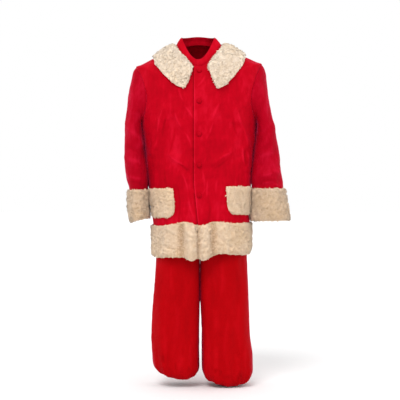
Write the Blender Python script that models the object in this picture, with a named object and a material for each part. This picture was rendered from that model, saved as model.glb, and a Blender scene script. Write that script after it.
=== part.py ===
"""Santa suit of red velvet: a jacket with cream pile trims and trousers with gathered ankles.

The front faces -Y, the wearer's left is +X, +Z is up. Sizes are millimetres until a mesh is made.
"""
import math

import bmesh
import bpy
import numpy as np
from mathutils import Matrix, Vector

METRE = 0.001
SEAM_GAP = 0.3
VELVET_THICK = 2.0
STAND_THICK = 3.0
WAISTBAND_THICK = 4.0
PILE_THICK = 12.0
COLLAR_PILE_THICK = 15.0
PILE_SEAT = 0.5
PILE_EDGE_SHARE = 0.35
POCKET_SEAT = 0.8
COLLAR_SEAT = 2.9
QUARTER = math.pi / 2
SHARP_EDGE = math.radians(50)

# colours as screen values
RED = (200, 6, 30)
DARK_RED = (182, 4, 26)
CREAM = (226, 208, 178)
PALE_CREAM = (233, 222, 199)
VELVET_ROUGH = 0.75
PILE_ROUGH = 0.95

# jacket body: each row is one ring, level is the way down the side from the neck
BODY_COLUMNS = ("level", "right", "left", "front", "back", "z_front", "z_right", "z_left", "z_back")
BODY_RINGS = (
    (0, 96, 96, 82, 62, -94, 0, 0, 14),
    (35, 131, 131, 98, 84, -122, -14, -10, -14),
    (75, 166, 168, 113, 102, -152, -38, -32, -48),
    (105, 187, 188, 122, 113, -174, -53, -45, -74),
    (162, 240, 240, 133, 127, -206, -79, -69, -124),
    (190, 264, 264, 137, 132, -224, -91, -79, -150),
    (250, 261, 260, 142, 138, -252, -148, -140, -196),
    (310, 255, 254, 146, 141, -281, -206, -202, -240),
    (375, 247, 247, 148, 142, -310, -269, -267, -288),
    (440, 240, 243, 149, 142, -342, -332, -332, -336),
    (500, 232, 237, 148, 140, -395, -392, -392, -393),
    (600, 221, 226, 147, 137, -492, -492, -492, -492),
    (700, 210, 219, 146, 137, -592, -592, -592, -592),
    (800, 198, 214, 147, 140, -692, -692, -692, -692),
    (850, 192, 212, 148, 142, -742, -742, -742, -742),
    (1030, 187, 210, 150, 146, -922, -922, -922, -922),
)
BODY_SQUARE = 2.3
LEVEL_AT_ZERO = 108.0
SMALL_TURN = 0.004
SMALL_LEVEL = 0.5
TURN_TRIES = 14

# armhole oval, cut in the side of the body rings
SHOULDER_TIP = 190.0
UNDERARM = 440.0
ARMHOLE_TURN = math.radians(21.5)
ARMHOLE_STEPS = 9
ARMHOLE_AWAY = 240.0
ARMHOLE_EASE = 0.4

# rows and lines of the jacket panels: levels on the shoulder, then steps and shares to the hem
SHOULDER_LEVELS = (0.0, 38.0, 76.0, 114.0, 152.0)
SKIRT_STEPS = 6
SKIRT_GUESS = 700.0
HEM_TRIES = 4
BAND_SHARES = (0.0, 0.1, 0.36, 0.62, 0.88, 1.0)
BAND_LEFT_BARE = 6.0
EDGE_LINE = 0.3
EDGE_CLEAR = 1.3

# edge of the hem band round the body: turn in degrees from the centre front
HEM_COLUMNS = ("turn", "top", "bottom")
HEM_LINE = (
    (-180, -742, -880),
    (-90, -752, -876),
    (-60, -754, -884),
    (-40, -746, -880),
    (-22, -736, -881),
    (-12, -742, -895),
    (-2, -750, -886),
    (6, -750, -893),
    (22, -736, -874),
    (32, -737, -865),
    (50, -743, -870),
    (70, -742, -873),
    (90, -742, -860),
    (180, -742, -880),
)

# edge of the front that laps over: distance to the wearer's left of centre
LAP_COLUMNS = ("down", "x")
LAP_EDGE = ((60, -20), (585, -20), (740, -4), (900, -2))
UNDERLAP_EASE = 26.0
UNDERLAP_START = 6.0
LAP_GAP = 0.5
LAP_TURN_GAP = 0.005
UNDERLAP_STEPS = 2
FRONT_STEPS = 12
BACK_STEPS = 16

# folds seen on the front: a line from top to foot, its half width and its height
FOLD_FADE = 50.0
FOLD_COLUMNS = ("x_top", "z_top", "x_foot", "z_foot", "reach", "height")
JACKET_FOLDS = (
    (-142, -280, -190, -450, 17, 7),
    (-112, -330, -160, -480, 16, -5),
    (155, -280, 196, -420, 17, 7),
    (120, -320, 160, -470, 16, -5),
    (-80, -200, -24, -318, 15, 5),
    (-96, -285, -32, -428, 16, 5),
    (-112, -465, -50, -512, 15, 6),
    (-84, -490, -44, -540, 13, -4),
    (88, -244, 24, -402, 17, 5),
    (128, -452, 60, -498, 15, 6),
    (-66, -540, -24, -712, 15, 5),
    (-110, -560, -96, -735, 17, -5),
    (60, -560, 50, -735, 16, -5),
    (176, -440, 200, -520, 11, 5),
    (-32, -770, -30, -900, 16, 12),
    (-70, -750, -72, -900, 13, -9),
    (-2, -750, -2, -900, 10, -7),
    (26, -770, 24, -900, 13, 10),
    (56, -750, 58, -900, 13, -9),
    (104, -760, 108, -900, 18, 5),
    (-124, -760, -124, -900, 20, 5),
)
BACK_FOLDS = (
    (-60, -190, -96, -420, 22, 5),
    (70, -190, 104, -400, 22, 5),
    (0, -300, 6, -600, 26, -4),
    (-118, -480, -78, -650, 20, 5),
    (120, -470, 84, -640, 20, 5),
    (-110, -730, -112, -890, 22, 7),
    (-36, -730, -34, -890, 20, -7),
    (40, -730, 44, -890, 22, 8),
    (120, -730, 124, -890, 20, -6),
)

# stand collar: its top ring, tilted down to the front
STAND_TOP = {"half": 70, "front": 68, "back": 54, "z_front": -64, "z_side": 36, "z_back": 46}
STAND_SHIFT = -4.0
STAND_OPEN_X = -11.0
STAND_BOW = 3.0
STAND_SEAT = 0.8
STAND_LEAN = 6.0
STAND_STEPS = 30
STAND_RISES = (0.0, 0.5, 1.0)

# flat pile collar: where its edge stands, by turns of the neck and of the body
COLLAR_COLUMNS = ("turn", "neck_level", "edge_turn", "edge_level")
COLLAR_EDGE = (
    (-16, 20, -26, 166),
    (-20, 14, -30, 186),
    (-28, 8, -39, 188),
    (-44, 5, -50, 175),
    (-62, 5, -61, 146),
    (-76, 5, -75, 116),
    (-90, 5, -90, 105),
    (-130, 5, -128, 98),
    (-180, 5, -180, 94),
    (-230, 5, -232, 98),
    (-270, 5, -270, 105),
    (-284, 5, -285, 118),
    (-298, 5, -299, 158),
    (-312, 5, -311, 192),
    (-326, 8, -320, 208),
    (-334, 16, -328, 210),
    (-338, 27, -330, 205),
)
COLLAR_STEPS = 32
COLLAR_CROWD = 0.55
COLLAR_EDGE_SHARE = 0.4
COLLAR_SHARES = (0, 0.08, 0.35, 0.65, 0.92, 1)

# sleeve rings: outer and inner ends seen from the front, then the middle and half depth
SLEEVE_COLUMNS = ("ring", "outer_x", "outer_z", "inner_x", "inner_z", "middle_y", "half_deep", "armhole")
RIGHT_SLEEVE = (
    (0, 264, -91, 238, -332, 0, 86, 1.0),
    (1, 276, -112, 243, -329, 0, 86, 0.75),
    (2, 287, -160, 242.5, -338, -1, 84, 0.35),
    (3, 296, -212, 240.5, -356, -3, 82, 0.1),
    (4, 304, -276, 236, -384, -6, 80, 0.0),
    (5, 310, -346, 231, -418, -10, 79, 0.0),
    (6, 313, -424, 226, -462, -15, 78, 0.0),
    (7, 310, -496, 220, -512, -20, 78, 0.0),
    (8, 303, -556, 216, -560, -24, 78, 0.0),
    (9, 292, -606, 226, -604, -28, 77, 0.0),
    (10, 287, -672, 226, -660, -31, 77, 0.0),
    (11, 280, -734, 223, -716, -34, 77, 0.0),
)
LEFT_SLEEVE = (
    (0, 264, -79, 240, -332, 0, 86, 1.0),
    (1, 276, -102, 246, -329, 0, 86, 0.75),
    (2, 283, -152, 245.5, -338, -1, 84, 0.35),
    (3, 290, -206, 244.5, -354, -3, 81, 0.1),
    (4, 302, -276, 241, -380, -6, 78, 0.0),
    (5, 318, -350, 237, -412, -10, 75, 0.0),
    (6, 334, -426, 232, -452, -15, 72, 0.0),
    (7, 341, -494, 226.5, -500, -21, 70, 0.0),
    (8, 346, -552, 222, -550, -27, 68, 0.0),
    (9, 350, -600, 233, -600, -32, 66, 0.0),
    (10, 361, -664, 236, -664, -36, 65, 0.0),
    (11, 370, -726, 234, -728, -40, 65, 0.0),
)
SLEEVE_ROWS = (0, 0.5, 1, 1.5, 2, 2.6, 3.2, 4, 5, 6, 7, 8, 9, 9.7, 10.4, 11)
CUFF_ROWS = (9, 9.2, 9.7, 10.4, 10.85, 11)
CUFF_PROFILE = (0.45, 0.85, 1, 1, 0.85, 0.45)
SLEEVE_FOLDS = (
    (262, -545, 330, -528, 13, 6),
    (256, -588, 336, -572, 11, -4),
    (-302, -330, -246, -420, 16, 5),
    (-304, -470, -240, -520, 15, 5),
    (318, -330, 254, -440, 17, 6),
    (330, -440, 262, -500, 15, -4),
)

# patch pockets: turns in degrees, heights, and the radius of the lower corners
POCKET_PANEL_ROW = 18
POCKET_COLUMNS = ("inner_turn", "outer_turn", "top", "bottom", "corner")
RIGHT_POCKET = (-38, -78, -600, -718, 34)
LEFT_POCKET = (41, 80, -592, -706, 34)
POCKET_ROWS = (0, 0.08, 0.35, 0.65, 0.92, 1)

# covered buttons down the front
BUTTON_X = 1.0
BUTTON_HEIGHTS = (-116, -244, -379, -505, -628)
BUTTON_RADIUS = 10.0
BUTTON_DEEP = 7.0
BUTTON_UNDERSIDE = 1.0
BUTTON_SEAT = 0.25
BUTTON_SAMPLES = 16
BUTTON_LINE = 2

# trousers: hip rings above, leg rings below; u runs from the centre or inside leg to the side
HIP_COLUMNS = ("z", "half", "front", "back", "leg_share")
HIP_RINGS = (
    (-505, 166, 112, 106, 0.0),
    (-600, 176, 118, 116, 0.0),
    (-700, 184, 120, 122, 0.12),
    (-780, 186, 118, 122, 0.5),
    (-850, 186, 114, 118, 1.0),
    (-1420, 186, 114, 118, 1.0),
)
LEG_COLUMNS = ("z", "inner", "outer", "front", "back", "droop", "gather")
RIGHT_LEG = (
    (-505, 0.2, 172, 112, 106, 0, 0),
    (-850, 0.2, 182, 112, 114, 0, 0),
    (-885, 0.2, 184, 110, 112, 0, 0),
    (-1000, 0.2, 191, 100, 104, 0, 0),
    (-1060, 0.6, 196, 96, 100, 0, 0),
    (-1110, 2, 200, 94, 98, 0, 0),
    (-1210, 4, 203, 92, 97, 0, 0),
    (-1290, 4, 200, 92, 96, 1, 1),
    (-1332, 4, 196, 92, 95, 5, 2),
    (-1354, 8, 188, 89, 92, 9, 3),
    (-1369, 20, 171, 80, 82, 12, 4),
    (-1375, 36, 152, 66, 68, 14, 4),
    (-1366, 46, 142, 58, 60, 14, 3),
)
LEFT_LEG = (
    (-505, 0.2, 172, 112, 106, 0, 0),
    (-850, 0.2, 192, 112, 116.3, 0, 0),
    (-885, 0.2, 195, 110, 112, 0, 0),
    (-1000, 0.2, 202, 100, 104, 0, 0),
    (-1060, 1.2, 204, 96, 100, 0, 0),
    (-1110, 4, 206, 94, 98, 0, 0),
    (-1210, 8, 210, 92, 97, 0, 0),
    (-1300, 8, 221, 94, 97, 1, 1),
    (-1352, 10, 221, 94, 97, 5, 2),
    (-1380, 18, 214, 91, 94, 9, 3),
    (-1398, 34, 196, 82, 84, 12, 4),
    (-1404, 52, 176, 68, 70, 14, 4),
    (-1394, 62, 166, 60, 62, 14, 3),
)
TROUSER_CENTRE = 4.0
LEG_SQUARE_INSIDE = 3.6
LEG_SQUARE_OUTSIDE = 2.3
LEG_STEPS = 12
LEG_ROW_APART = 90.0
LEG_SLANT = 0.55
LEG_GATHERS = 12
TROUSER_FOLDS = (
    (-120, -900, -100, -1200, 18, 5),
    (-60, -1000, -70, -1290, 16, -4),
    (-160, -1080, -150, -1330, 16, 4),
    (96, -900, 84, -1180, 18, 5),
    (150, -960, 160, -1290, 18, -4),
    (60, -1120, 66, -1340, 16, 5),
    (126, -1180, 118, -1360, 16, 5),
)
WAISTBAND_TOP = -466.0
WAISTBAND_FOOT = -504.4
WAISTBAND_STEPS = 28


def remove_everything():
    """Empty the file before the garment is made."""
    for thing in list(bpy.data.objects):
        bpy.data.objects.remove(thing)


def linear(screen):
    """Turn a screen colour of 0 to 255 into the linear colour of a material."""
    share = np.array(screen) / 255.0
    value = np.where(share <= 0.04045, share / 12.92, ((share + 0.055) / 1.055) ** 2.4)
    return (*value, 1.0)


def cloth_material(name, screen, roughness):
    """One Principled material of its own for a piece."""
    material = bpy.data.materials.new(name)
    material.use_nodes = True
    shader = material.node_tree.nodes["Principled BSDF"]
    shader.inputs["Base Color"].default_value = linear(screen)
    shader.inputs["Roughness"].default_value = roughness
    shader.inputs["Metallic"].default_value = 0.0
    return material


def velvet(name, screen):
    """Matt velvet for a piece."""
    return cloth_material(name + "_velvet", screen, VELVET_ROUGH)


def pile(name, screen):
    """Matt curly pile for a piece."""
    return cloth_material(name + "_pile", screen, PILE_ROUGH)


def smooth_curve(knots, values, at):
    """A cubic through the knots whose slopes are harmonic means, so it never overshoots."""
    knots = np.asarray(knots, float)
    values = np.asarray(values, float)
    step = np.diff(knots)
    rise = np.diff(values) / step
    slope = np.empty(len(knots))
    slope[0] = rise[0]
    slope[-1] = rise[-1]
    turning = rise[:-1] * rise[1:]
    total = rise[:-1] + rise[1:]
    slope[1:-1] = np.where(turning > 0, 2 * turning / np.where(total == 0, 1, total), 0)
    at = np.clip(np.asarray(at, float), knots[0], knots[-1])
    k = np.clip(np.searchsorted(knots, at, side="right") - 1, 0, len(step) - 1)
    t = (at - knots[k]) / step[k]
    start = (1 + 2 * t) * (1 - t) ** 2 * values[k] + t * (1 - t) ** 2 * step[k] * slope[k]
    finish = t * t * (3 - 2 * t) * values[k + 1] + t * t * (t - 1) * step[k] * slope[k + 1]
    return start + finish


def table_column(columns, rows, name):
    """The values of one named column of a table."""
    return np.array([row[columns.index(name)] for row in rows], float)


def column(columns, rows, name, at):
    """Read one named column of a table at any value of its first column."""
    return smooth_curve(table_column(columns, rows, columns[0]), table_column(columns, rows, name), at)


def ease(value):
    """A smooth step from 0 to 1."""
    value = np.clip(value, 0, 1)
    return value * value * (3 - 2 * value)


def unit(vectors):
    """Vectors brought to a length of one."""
    return vectors / np.linalg.norm(vectors, axis=-1, keepdims=True)


def fold_height(points, folds, side):
    """Height of the folds at each point: a rounded bank along each line, on one side only."""
    height = np.zeros(points.shape[:-1])
    for row in folds:
        fold = dict(zip(FOLD_COLUMNS, row))
        top = np.array((fold["x_top"], fold["z_top"]), float)
        run = np.array((fold["x_foot"], fold["z_foot"]), float) - top
        apart = points[..., (0, 2)] - top
        along = np.clip(apart @ run / (run @ run), 0, 1)
        miss = np.linalg.norm(apart - along[..., None] * run, axis=-1)
        height += fold["height"] * np.exp(-((miss / fold["reach"]) ** 2))
    return height * ease(side * points[..., 1] / FOLD_FADE)


def squared_reach(turn, half, deep, square):
    """How far a squarish oval stands from its middle at a turn."""
    across = np.abs(np.sin(turn)) / half
    along = np.abs(np.cos(turn)) / deep
    return (across ** square + along ** square) ** (-1 / square)


def body_point(turn, level):
    """The jacket's outside: a squarish ring at each level, tilted from side to front and back."""
    turn = np.mod(np.asarray(turn, float) + math.pi, 2 * math.pi) - math.pi
    level = np.asarray(level, float)
    value = {name: column(BODY_COLUMNS, BODY_RINGS, name, level) for name in BODY_COLUMNS[1:]}
    to_left = np.sin(turn) >= 0
    to_front = np.cos(turn) >= 0
    half = np.where(to_left, value["left"], value["right"])
    deep = np.where(to_front, value["front"], value["back"])
    reach = squared_reach(turn, half, deep, BODY_SQUARE)
    z_side = np.where(to_left, value["z_left"], value["z_right"])
    z_end = np.where(to_front, value["z_front"], value["z_back"])
    z = z_side + (z_end - z_side) * np.cos(turn) ** 2
    return np.stack((reach * np.sin(turn), -reach * np.cos(turn), z), axis=-1)


def body_outward(turn, level):
    """Outward direction of the jacket's form."""
    along = body_point(turn + SMALL_TURN, level) - body_point(turn - SMALL_TURN, level)
    down = body_point(turn, level + SMALL_LEVEL) - body_point(turn, np.maximum(level - SMALL_LEVEL, 0))
    return unit(np.cross(down, along))


def jacket_point(turn, level, out=0.0):
    """A point of the jacket with its folds, moved out by a distance."""
    base = body_point(turn, level)
    lift = fold_height(base, JACKET_FOLDS, -1) + fold_height(base, BACK_FOLDS, 1)
    return base + body_outward(turn, level) * (lift + out)[..., None]


def turn_at(x, level):
    """The turn on the front at which the body ring has this distance from centre."""
    turn = np.arctan2(x, BODY_RINGS[-1][BODY_COLUMNS.index("front")]) * np.ones_like(level)
    for _ in range(TURN_TRIES):
        reach = np.linalg.norm(body_point(turn, level)[..., :2], axis=-1)
        turn = np.arcsin(np.clip(x / reach, -1, 1))
    return turn


def lap_turn(level):
    """Turn of the lapped edge at each level."""
    z = body_point(np.zeros_like(level), level)[..., 2]
    down, x = (table_column(LAP_COLUMNS, LAP_EDGE, name) for name in LAP_COLUMNS)
    return turn_at(np.interp(-z, down, x), level)


def hem_levels(turn):
    """Levels of the top and bottom edges of the hem band at a turn."""
    degrees = np.degrees(np.mod(turn + math.pi, 2 * math.pi) - math.pi)
    top = LEVEL_AT_ZERO - column(HEM_COLUMNS, HEM_LINE, "top", degrees)
    bottom = LEVEL_AT_ZERO - column(HEM_COLUMNS, HEM_LINE, "bottom", degrees)
    return top, bottom


def jacket_rows():
    """Rows of the jacket: levels down to the underarm, then shares of the way to the hem."""
    middle = (SHOULDER_TIP + UNDERARM) / 2
    half = (UNDERARM - SHOULDER_TIP) / 2
    sweep = np.cos(np.pi * np.arange(ARMHOLE_STEPS + 1) / ARMHOLE_STEPS)
    fixed = np.concatenate((SHOULDER_LEVELS, middle - half * sweep))
    skirt = np.arange(1, SKIRT_STEPS + 1) / SKIRT_STEPS
    band = np.array(BAND_SHARES[1:])
    return fixed, skirt, band


def edged_shares(steps, first=True, last=True):
    """Even shares of a width, with a line close to each sewn edge."""
    shares = np.arange(steps + 1) / steps
    if first:
        shares = np.insert(shares, 1, EDGE_LINE / steps)
    if last:
        shares = np.insert(shares, -1, 1 - EDGE_LINE / steps)
    return shares


def armhole_turn(level):
    """Half the turn that the armhole takes out of the side at a level."""
    middle = (SHOULDER_TIP + UNDERARM) / 2
    half = (UNDERARM - SHOULDER_TIP) / 2
    inside = np.clip(1 - ((level - middle) / half) ** 2, 0, 1)
    return ARMHOLE_TURN * np.sqrt(inside)


def jacket_grid(stops, shares):
    """Turns and levels of a panel; each stop gives the turn of an edge or a line at a level."""
    fixed, skirt, band = jacket_rows()

    ends = np.cumsum([0] + [len(share) for share in shares])

    def turns_at(level):
        parts = []
        for k, share in enumerate(shares):
            here = level[:, ends[k]:ends[k + 1]]
            start = stops[k](here)
            parts.append(start + (stops[k + 1](here) - start) * share)
        return np.concatenate(parts, axis=1)

    upper = np.repeat(fixed[:, None], ends[-1], axis=1)
    lower = np.full((len(skirt) + len(band), ends[-1]), SKIRT_GUESS)
    down = len(skirt)
    for _ in range(HEM_TRIES):
        top, bottom = hem_levels(turns_at(lower))
        lower[:down] = UNDERARM + (top[:down] - UNDERARM) * skirt[:, None]
        lower[down:] = top[down:] + (bottom[down:] - BAND_LEFT_BARE - top[down:]) * band[:, None]
    levels = np.concatenate((upper, lower))
    return turns_at(levels), levels


def underlap_push(turn, level):
    """How far the front below the lap goes in, so that the lap lies on it."""
    reach = np.linalg.norm(body_point(turn, level)[..., :2], axis=-1)
    x = reach * np.sin(turn)
    lap_x = reach * np.sin(lap_turn(level))
    return (VELVET_THICK + LAP_GAP) * ease((x - lap_x + UNDERLAP_START + UNDERLAP_EASE) / UNDERLAP_EASE)


def wall(name, outer, inner, around, material, collection):
    """A closed wall between two grids of points, with a rim on each open edge."""
    rows, lines = outer.shape[:2]
    total = rows * lines
    points = np.concatenate((outer.reshape(-1, 3), inner.reshape(-1, 3))) * METRE
    faces = []
    spans = lines if around else lines - 1
    for r in range(rows - 1):
        for c in range(spans):
            d = (c + 1) % lines
            a, b, e, f = r * lines + c, (r + 1) * lines + c, (r + 1) * lines + d, r * lines + d
            faces.extend(((a, b, e), (a, e, f)))
            faces.extend(((total + a, total + e, total + b), (total + a, total + f, total + e)))
    last = (rows - 1) * lines
    for c in range(spans):
        d = (c + 1) % lines
        faces.append((c, d, total + d, total + c))
        faces.append((last + d, last + c, total + last + c, total + last + d))
    if not around:
        for r in range(rows - 1):
            a, b = r * lines, (r + 1) * lines
            faces.append((b, a, total + a, total + b))
            a, b = r * lines + lines - 1, (r + 1) * lines + lines - 1
            faces.append((a, b, total + b, total + a))
    down = outer[1:, :-1] - outer[:-1, :-1]
    along = outer[:-1, 1:] - outer[:-1, :-1]
    facing = np.sum(np.cross(down, along) * (outer - inner)[:-1, :-1])
    if facing < 0:
        faces = [tuple(reversed(face)) for face in faces]
    mesh = bpy.data.meshes.new(name)
    mesh.from_pydata([tuple(p) for p in points], [], faces)
    mesh.validate()
    mesh.shade_smooth()
    mesh.set_sharp_from_angle(angle=SHARP_EDGE)
    mesh.materials.append(material)
    thing = bpy.data.objects.new(name, mesh)
    collection.objects.link(thing)
    return thing


def grid_outward(points, around, centre_pull=None):
    """Outward directions of a grid from its own neighbours."""
    if around:
        along = np.roll(points, -1, axis=1) - np.roll(points, 1, axis=1)
    else:
        along = np.gradient(points, axis=1)
    down = np.gradient(points, axis=0)
    normal = unit(np.cross(down, along))
    if centre_pull is None:
        centre_pull = points.mean(axis=1, keepdims=True)
    if np.mean(np.sum(normal * (points - centre_pull), axis=-1)) < 0:
        normal = -normal
    return normal


def rounded_edges(shares_a, shares_b, edge=PILE_EDGE_SHARE, bend_a=0.12, bend_b=0.1):
    """Thickness share of a pile piece: full inside and rounded down towards its edges."""
    fall_a = np.minimum(shares_a, 1 - shares_a) / bend_a
    fall_b = np.minimum(shares_b, 1 - shares_b) / bend_b
    arc_a = np.sqrt(1 - (1 - np.clip(fall_a, 0, 1)) ** 2)
    arc_b = np.sqrt(1 - (1 - np.clip(fall_b, 0, 1)) ** 2)
    return edge + (1 - edge) * arc_a[:, None] * arc_b[None, :]


def make_jacket_panels(collection):
    """The two fronts and the back."""
    def side(level):
        return QUARTER - armhole_turn(level) - SEAM_GAP / 2 / ARMHOLE_AWAY

    def right_lap(level):
        return lap_turn(level) - LAP_TURN_GAP

    def right_finish(level):
        return lap_turn(level) + (side(level) - lap_turn(level)) * UNDERLAP_STEPS / FRONT_STEPS

    def back_start(level):
        return 2 * QUARTER - side(level)

    def back_finish(level):
        return 2 * QUARTER + side(level)

    plans = {
        "jacket_front_left": ((lap_turn, side), (edged_shares(FRONT_STEPS),)),
        "jacket_front_right": ((lambda level: -side(level), right_lap, right_finish),
                               (edged_shares(FRONT_STEPS), edged_shares(UNDERLAP_STEPS, last=False)[1:])),
        "jacket_back": ((back_start, back_finish), (edged_shares(BACK_STEPS),)),
    }
    panels = {}
    for name, (stops, shares) in plans.items():
        turns, levels = jacket_grid(stops, shares)
        push = underlap_push(turns, levels) if name == "jacket_front_right" else np.zeros_like(turns)
        outer = jacket_point(turns, levels, -push)
        inner = jacket_point(turns, levels, -push - VELVET_THICK)
        wall(name, outer, inner, False, velvet(name, RED), collection)
        panels[name] = {"turns": turns, "levels": levels, "outer": outer, "outward": unit(outer - inner)}
    return panels


def patch(panel, rows, lines):
    """Points and outward directions of a panel at fractions of its rows and lines."""
    count_rows, count_lines = panel["turns"].shape
    r = np.clip(np.floor(rows).astype(int), 0, count_rows - 2)
    c = np.clip(np.floor(lines).astype(int), 0, count_lines - 2)
    a = (rows - r)[..., None]
    b = (lines - c)[..., None]

    def mix(grid):
        upper = grid[r, c] * (1 - b) + grid[r, c + 1] * b
        lower = grid[r + 1, c] * (1 - b) + grid[r + 1, c + 1] * b
        return upper * (1 - a) + lower * a

    return mix(panel["outer"]), unit(mix(panel["outward"]))


def lines_between(first, last, soft):
    """Every whole line between two places, with the two edges and a line just inside each."""
    whole = np.arange(math.ceil(first + EDGE_CLEAR * soft), math.floor(last - EDGE_CLEAR * soft) + 1)
    return np.concatenate(((first, first + soft), whole, (last - soft, last)))


def make_hem_bands(panels, collection):
    """The deep pile band round the hem, cut at the lap and at the side seams."""
    for part in ("front_left", "front_right", "back"):
        panel = panels["jacket_" + part]
        first = len(panel["turns"]) - len(BAND_SHARES)
        lines = FRONT_STEPS + 3 if part == "front_right" else panel["turns"].shape[1]
        base = panel["outer"][first:, :lines].copy()
        out = panel["outward"][first:, :lines]
        base[-1] = base[-1] + unit(base[-1] - base[-2]) * BAND_LEFT_BARE
        steps = BACK_STEPS if part == "back" else FRONT_STEPS
        profile = rounded_edges(np.array(BAND_SHARES), edged_shares(steps), bend_b=EDGE_LINE / steps)
        inner = base + out * PILE_SEAT
        outer = inner + out * (PILE_THICK * profile)[..., None]
        wall("hem_fur_" + part, outer, inner, False, pile("hem_fur_" + part, CREAM), collection)


def make_pockets(panels, collection):
    """Patch pockets of pile, with rounded lower corners."""
    for part, row in (("right", RIGHT_POCKET), ("left", LEFT_POCKET)):
        panel = panels["jacket_front_" + part]
        pocket = dict(zip(POCKET_COLUMNS, row))
        turns = np.degrees(panel["turns"][POCKET_PANEL_ROW])
        across = np.diff(panel["outer"][POCKET_PANEL_ROW], axis=0)
        run = np.concatenate(((0,), np.cumsum(np.linalg.norm(across, axis=1))))
        at = np.arange(len(turns))
        ends = np.sort(np.interp((pocket["inner_turn"], pocket["outer_turn"]), turns, at))
        lines = lines_between(ends[0], ends[1], EDGE_LINE)
        run = np.interp(lines, at, run)
        near = np.minimum(run - run[0], run[-1] - run)
        corner = pocket["corner"]
        rise = corner - np.sqrt(corner ** 2 - np.clip(corner - near, 0, corner) ** 2)
        down = np.array(POCKET_ROWS)
        z = pocket["top"] + (pocket["bottom"] + rise - pocket["top"]) * down[:, None]
        heights = np.array([np.interp(lines, at, height) for height in panel["outer"][..., 2]])
        places = np.arange(len(heights), dtype=float)
        rows = np.array([np.interp(-z[:, k], -heights[:, k], places) for k in range(len(lines))]).T
        base, out = patch(panel, rows, np.tile(lines, (len(down), 1)))
        profile = rounded_edges(down, (run - run[0]) / (run[-1] - run[0]))
        inner = base + out * POCKET_SEAT
        outer = inner + out * (PILE_THICK * profile)[..., None]
        wall("pocket_fur_" + part, outer, inner, False, pile("pocket_fur_" + part, CREAM), collection)


def stand_point(turn, rise):
    """The stand collar: from the neck edge up to its own smaller, tilted ring."""
    foot = body_point(turn, 0 * turn)
    lean = unit(foot - body_point(turn, 0 * turn + STAND_LEAN))
    foot = foot + lean * STAND_SEAT
    deep = np.where(np.cos(turn) >= 0, STAND_TOP["front"], STAND_TOP["back"])
    z_end = np.where(np.cos(turn) >= 0, STAND_TOP["z_front"], STAND_TOP["z_back"])
    across = np.abs(np.sin(turn)) / STAND_TOP["half"]
    along = np.abs(np.cos(turn)) / deep
    reach = (across ** 2 + along ** 2) ** -0.5
    z = STAND_TOP["z_side"] + (z_end - STAND_TOP["z_side"]) * np.cos(turn) ** 2
    top = np.stack((STAND_SHIFT + reach * np.sin(turn), -reach * np.cos(turn), z), axis=-1)
    bow = np.stack((np.sin(turn), -np.cos(turn), 0 * turn), axis=-1) * STAND_BOW
    return foot + (top - foot) * rise[..., None] + bow * np.sin(np.pi * rise)[..., None]


def make_stand_collar(collection):
    """The red stand collar, open at the front."""
    gap = turn_at(np.array(STAND_OPEN_X), np.array(0.0))
    turns = gap + SMALL_TURN + (4 * QUARTER - 2 * SMALL_TURN) * np.arange(STAND_STEPS + 1) / STAND_STEPS
    rises = np.array(STAND_RISES)
    turn, rise = np.meshgrid(turns, rises)
    outer = stand_point(turn, rise)
    normal = grid_outward(outer, False)
    foot_in = -body_outward(turns, np.zeros_like(turns))
    inner = outer - normal * STAND_THICK
    inner[0] = outer[0] + foot_in * STAND_THICK
    wall("stand_collar", outer, inner, False, velvet("stand_collar", RED), collection)


def make_fur_collar(collection):
    """The flat pile collar on the shoulders, with two tips at the front."""
    rows = COLLAR_EDGE[::-1]
    u = edged_shares(COLLAR_STEPS)
    u = u - COLLAR_CROWD * np.sin(2 * math.pi * u) / (2 * math.pi)
    degrees = rows[0][0] + (rows[-1][0] - rows[0][0]) * u
    along = np.radians(degrees)
    neck_level = column(COLLAR_COLUMNS, rows, "neck_level", degrees)
    edge_turn = np.radians(column(COLLAR_COLUMNS, rows, "edge_turn", degrees))
    edge_level = column(COLLAR_COLUMNS, rows, "edge_level", degrees)
    w = np.array(COLLAR_SHARES)
    turns = along + (edge_turn - along) * w[:, None]
    levels = neck_level + (edge_level - neck_level) * w[:, None]
    profile = rounded_edges(w, u, edge=COLLAR_EDGE_SHARE, bend_a=0.14, bend_b=0.006)
    inner = jacket_point(turns, levels, COLLAR_SEAT)
    outer = jacket_point(turns, levels, COLLAR_SEAT + COLLAR_PILE_THICK * profile)
    wall("fur_collar", outer, inner, False, pile("fur_collar", PALE_CREAM), collection)


def armhole_ring(side):
    """The armhole edge round the body, a seam's width inside it, with its outward directions."""
    middle = (SHOULDER_TIP + UNDERARM) / 2
    half = (UNDERARM - SHOULDER_TIP) / 2 - ARMHOLE_EASE
    sweep = np.pi * np.arange(2 * ARMHOLE_STEPS) / ARMHOLE_STEPS
    levels = middle - half * np.cos(sweep)
    opening = (ARMHOLE_TURN - ARMHOLE_EASE / ARMHOLE_AWAY) * np.sin(sweep)
    turns = side * (QUARTER - opening)
    return jacket_point(turns, levels), body_outward(turns, levels)


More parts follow.
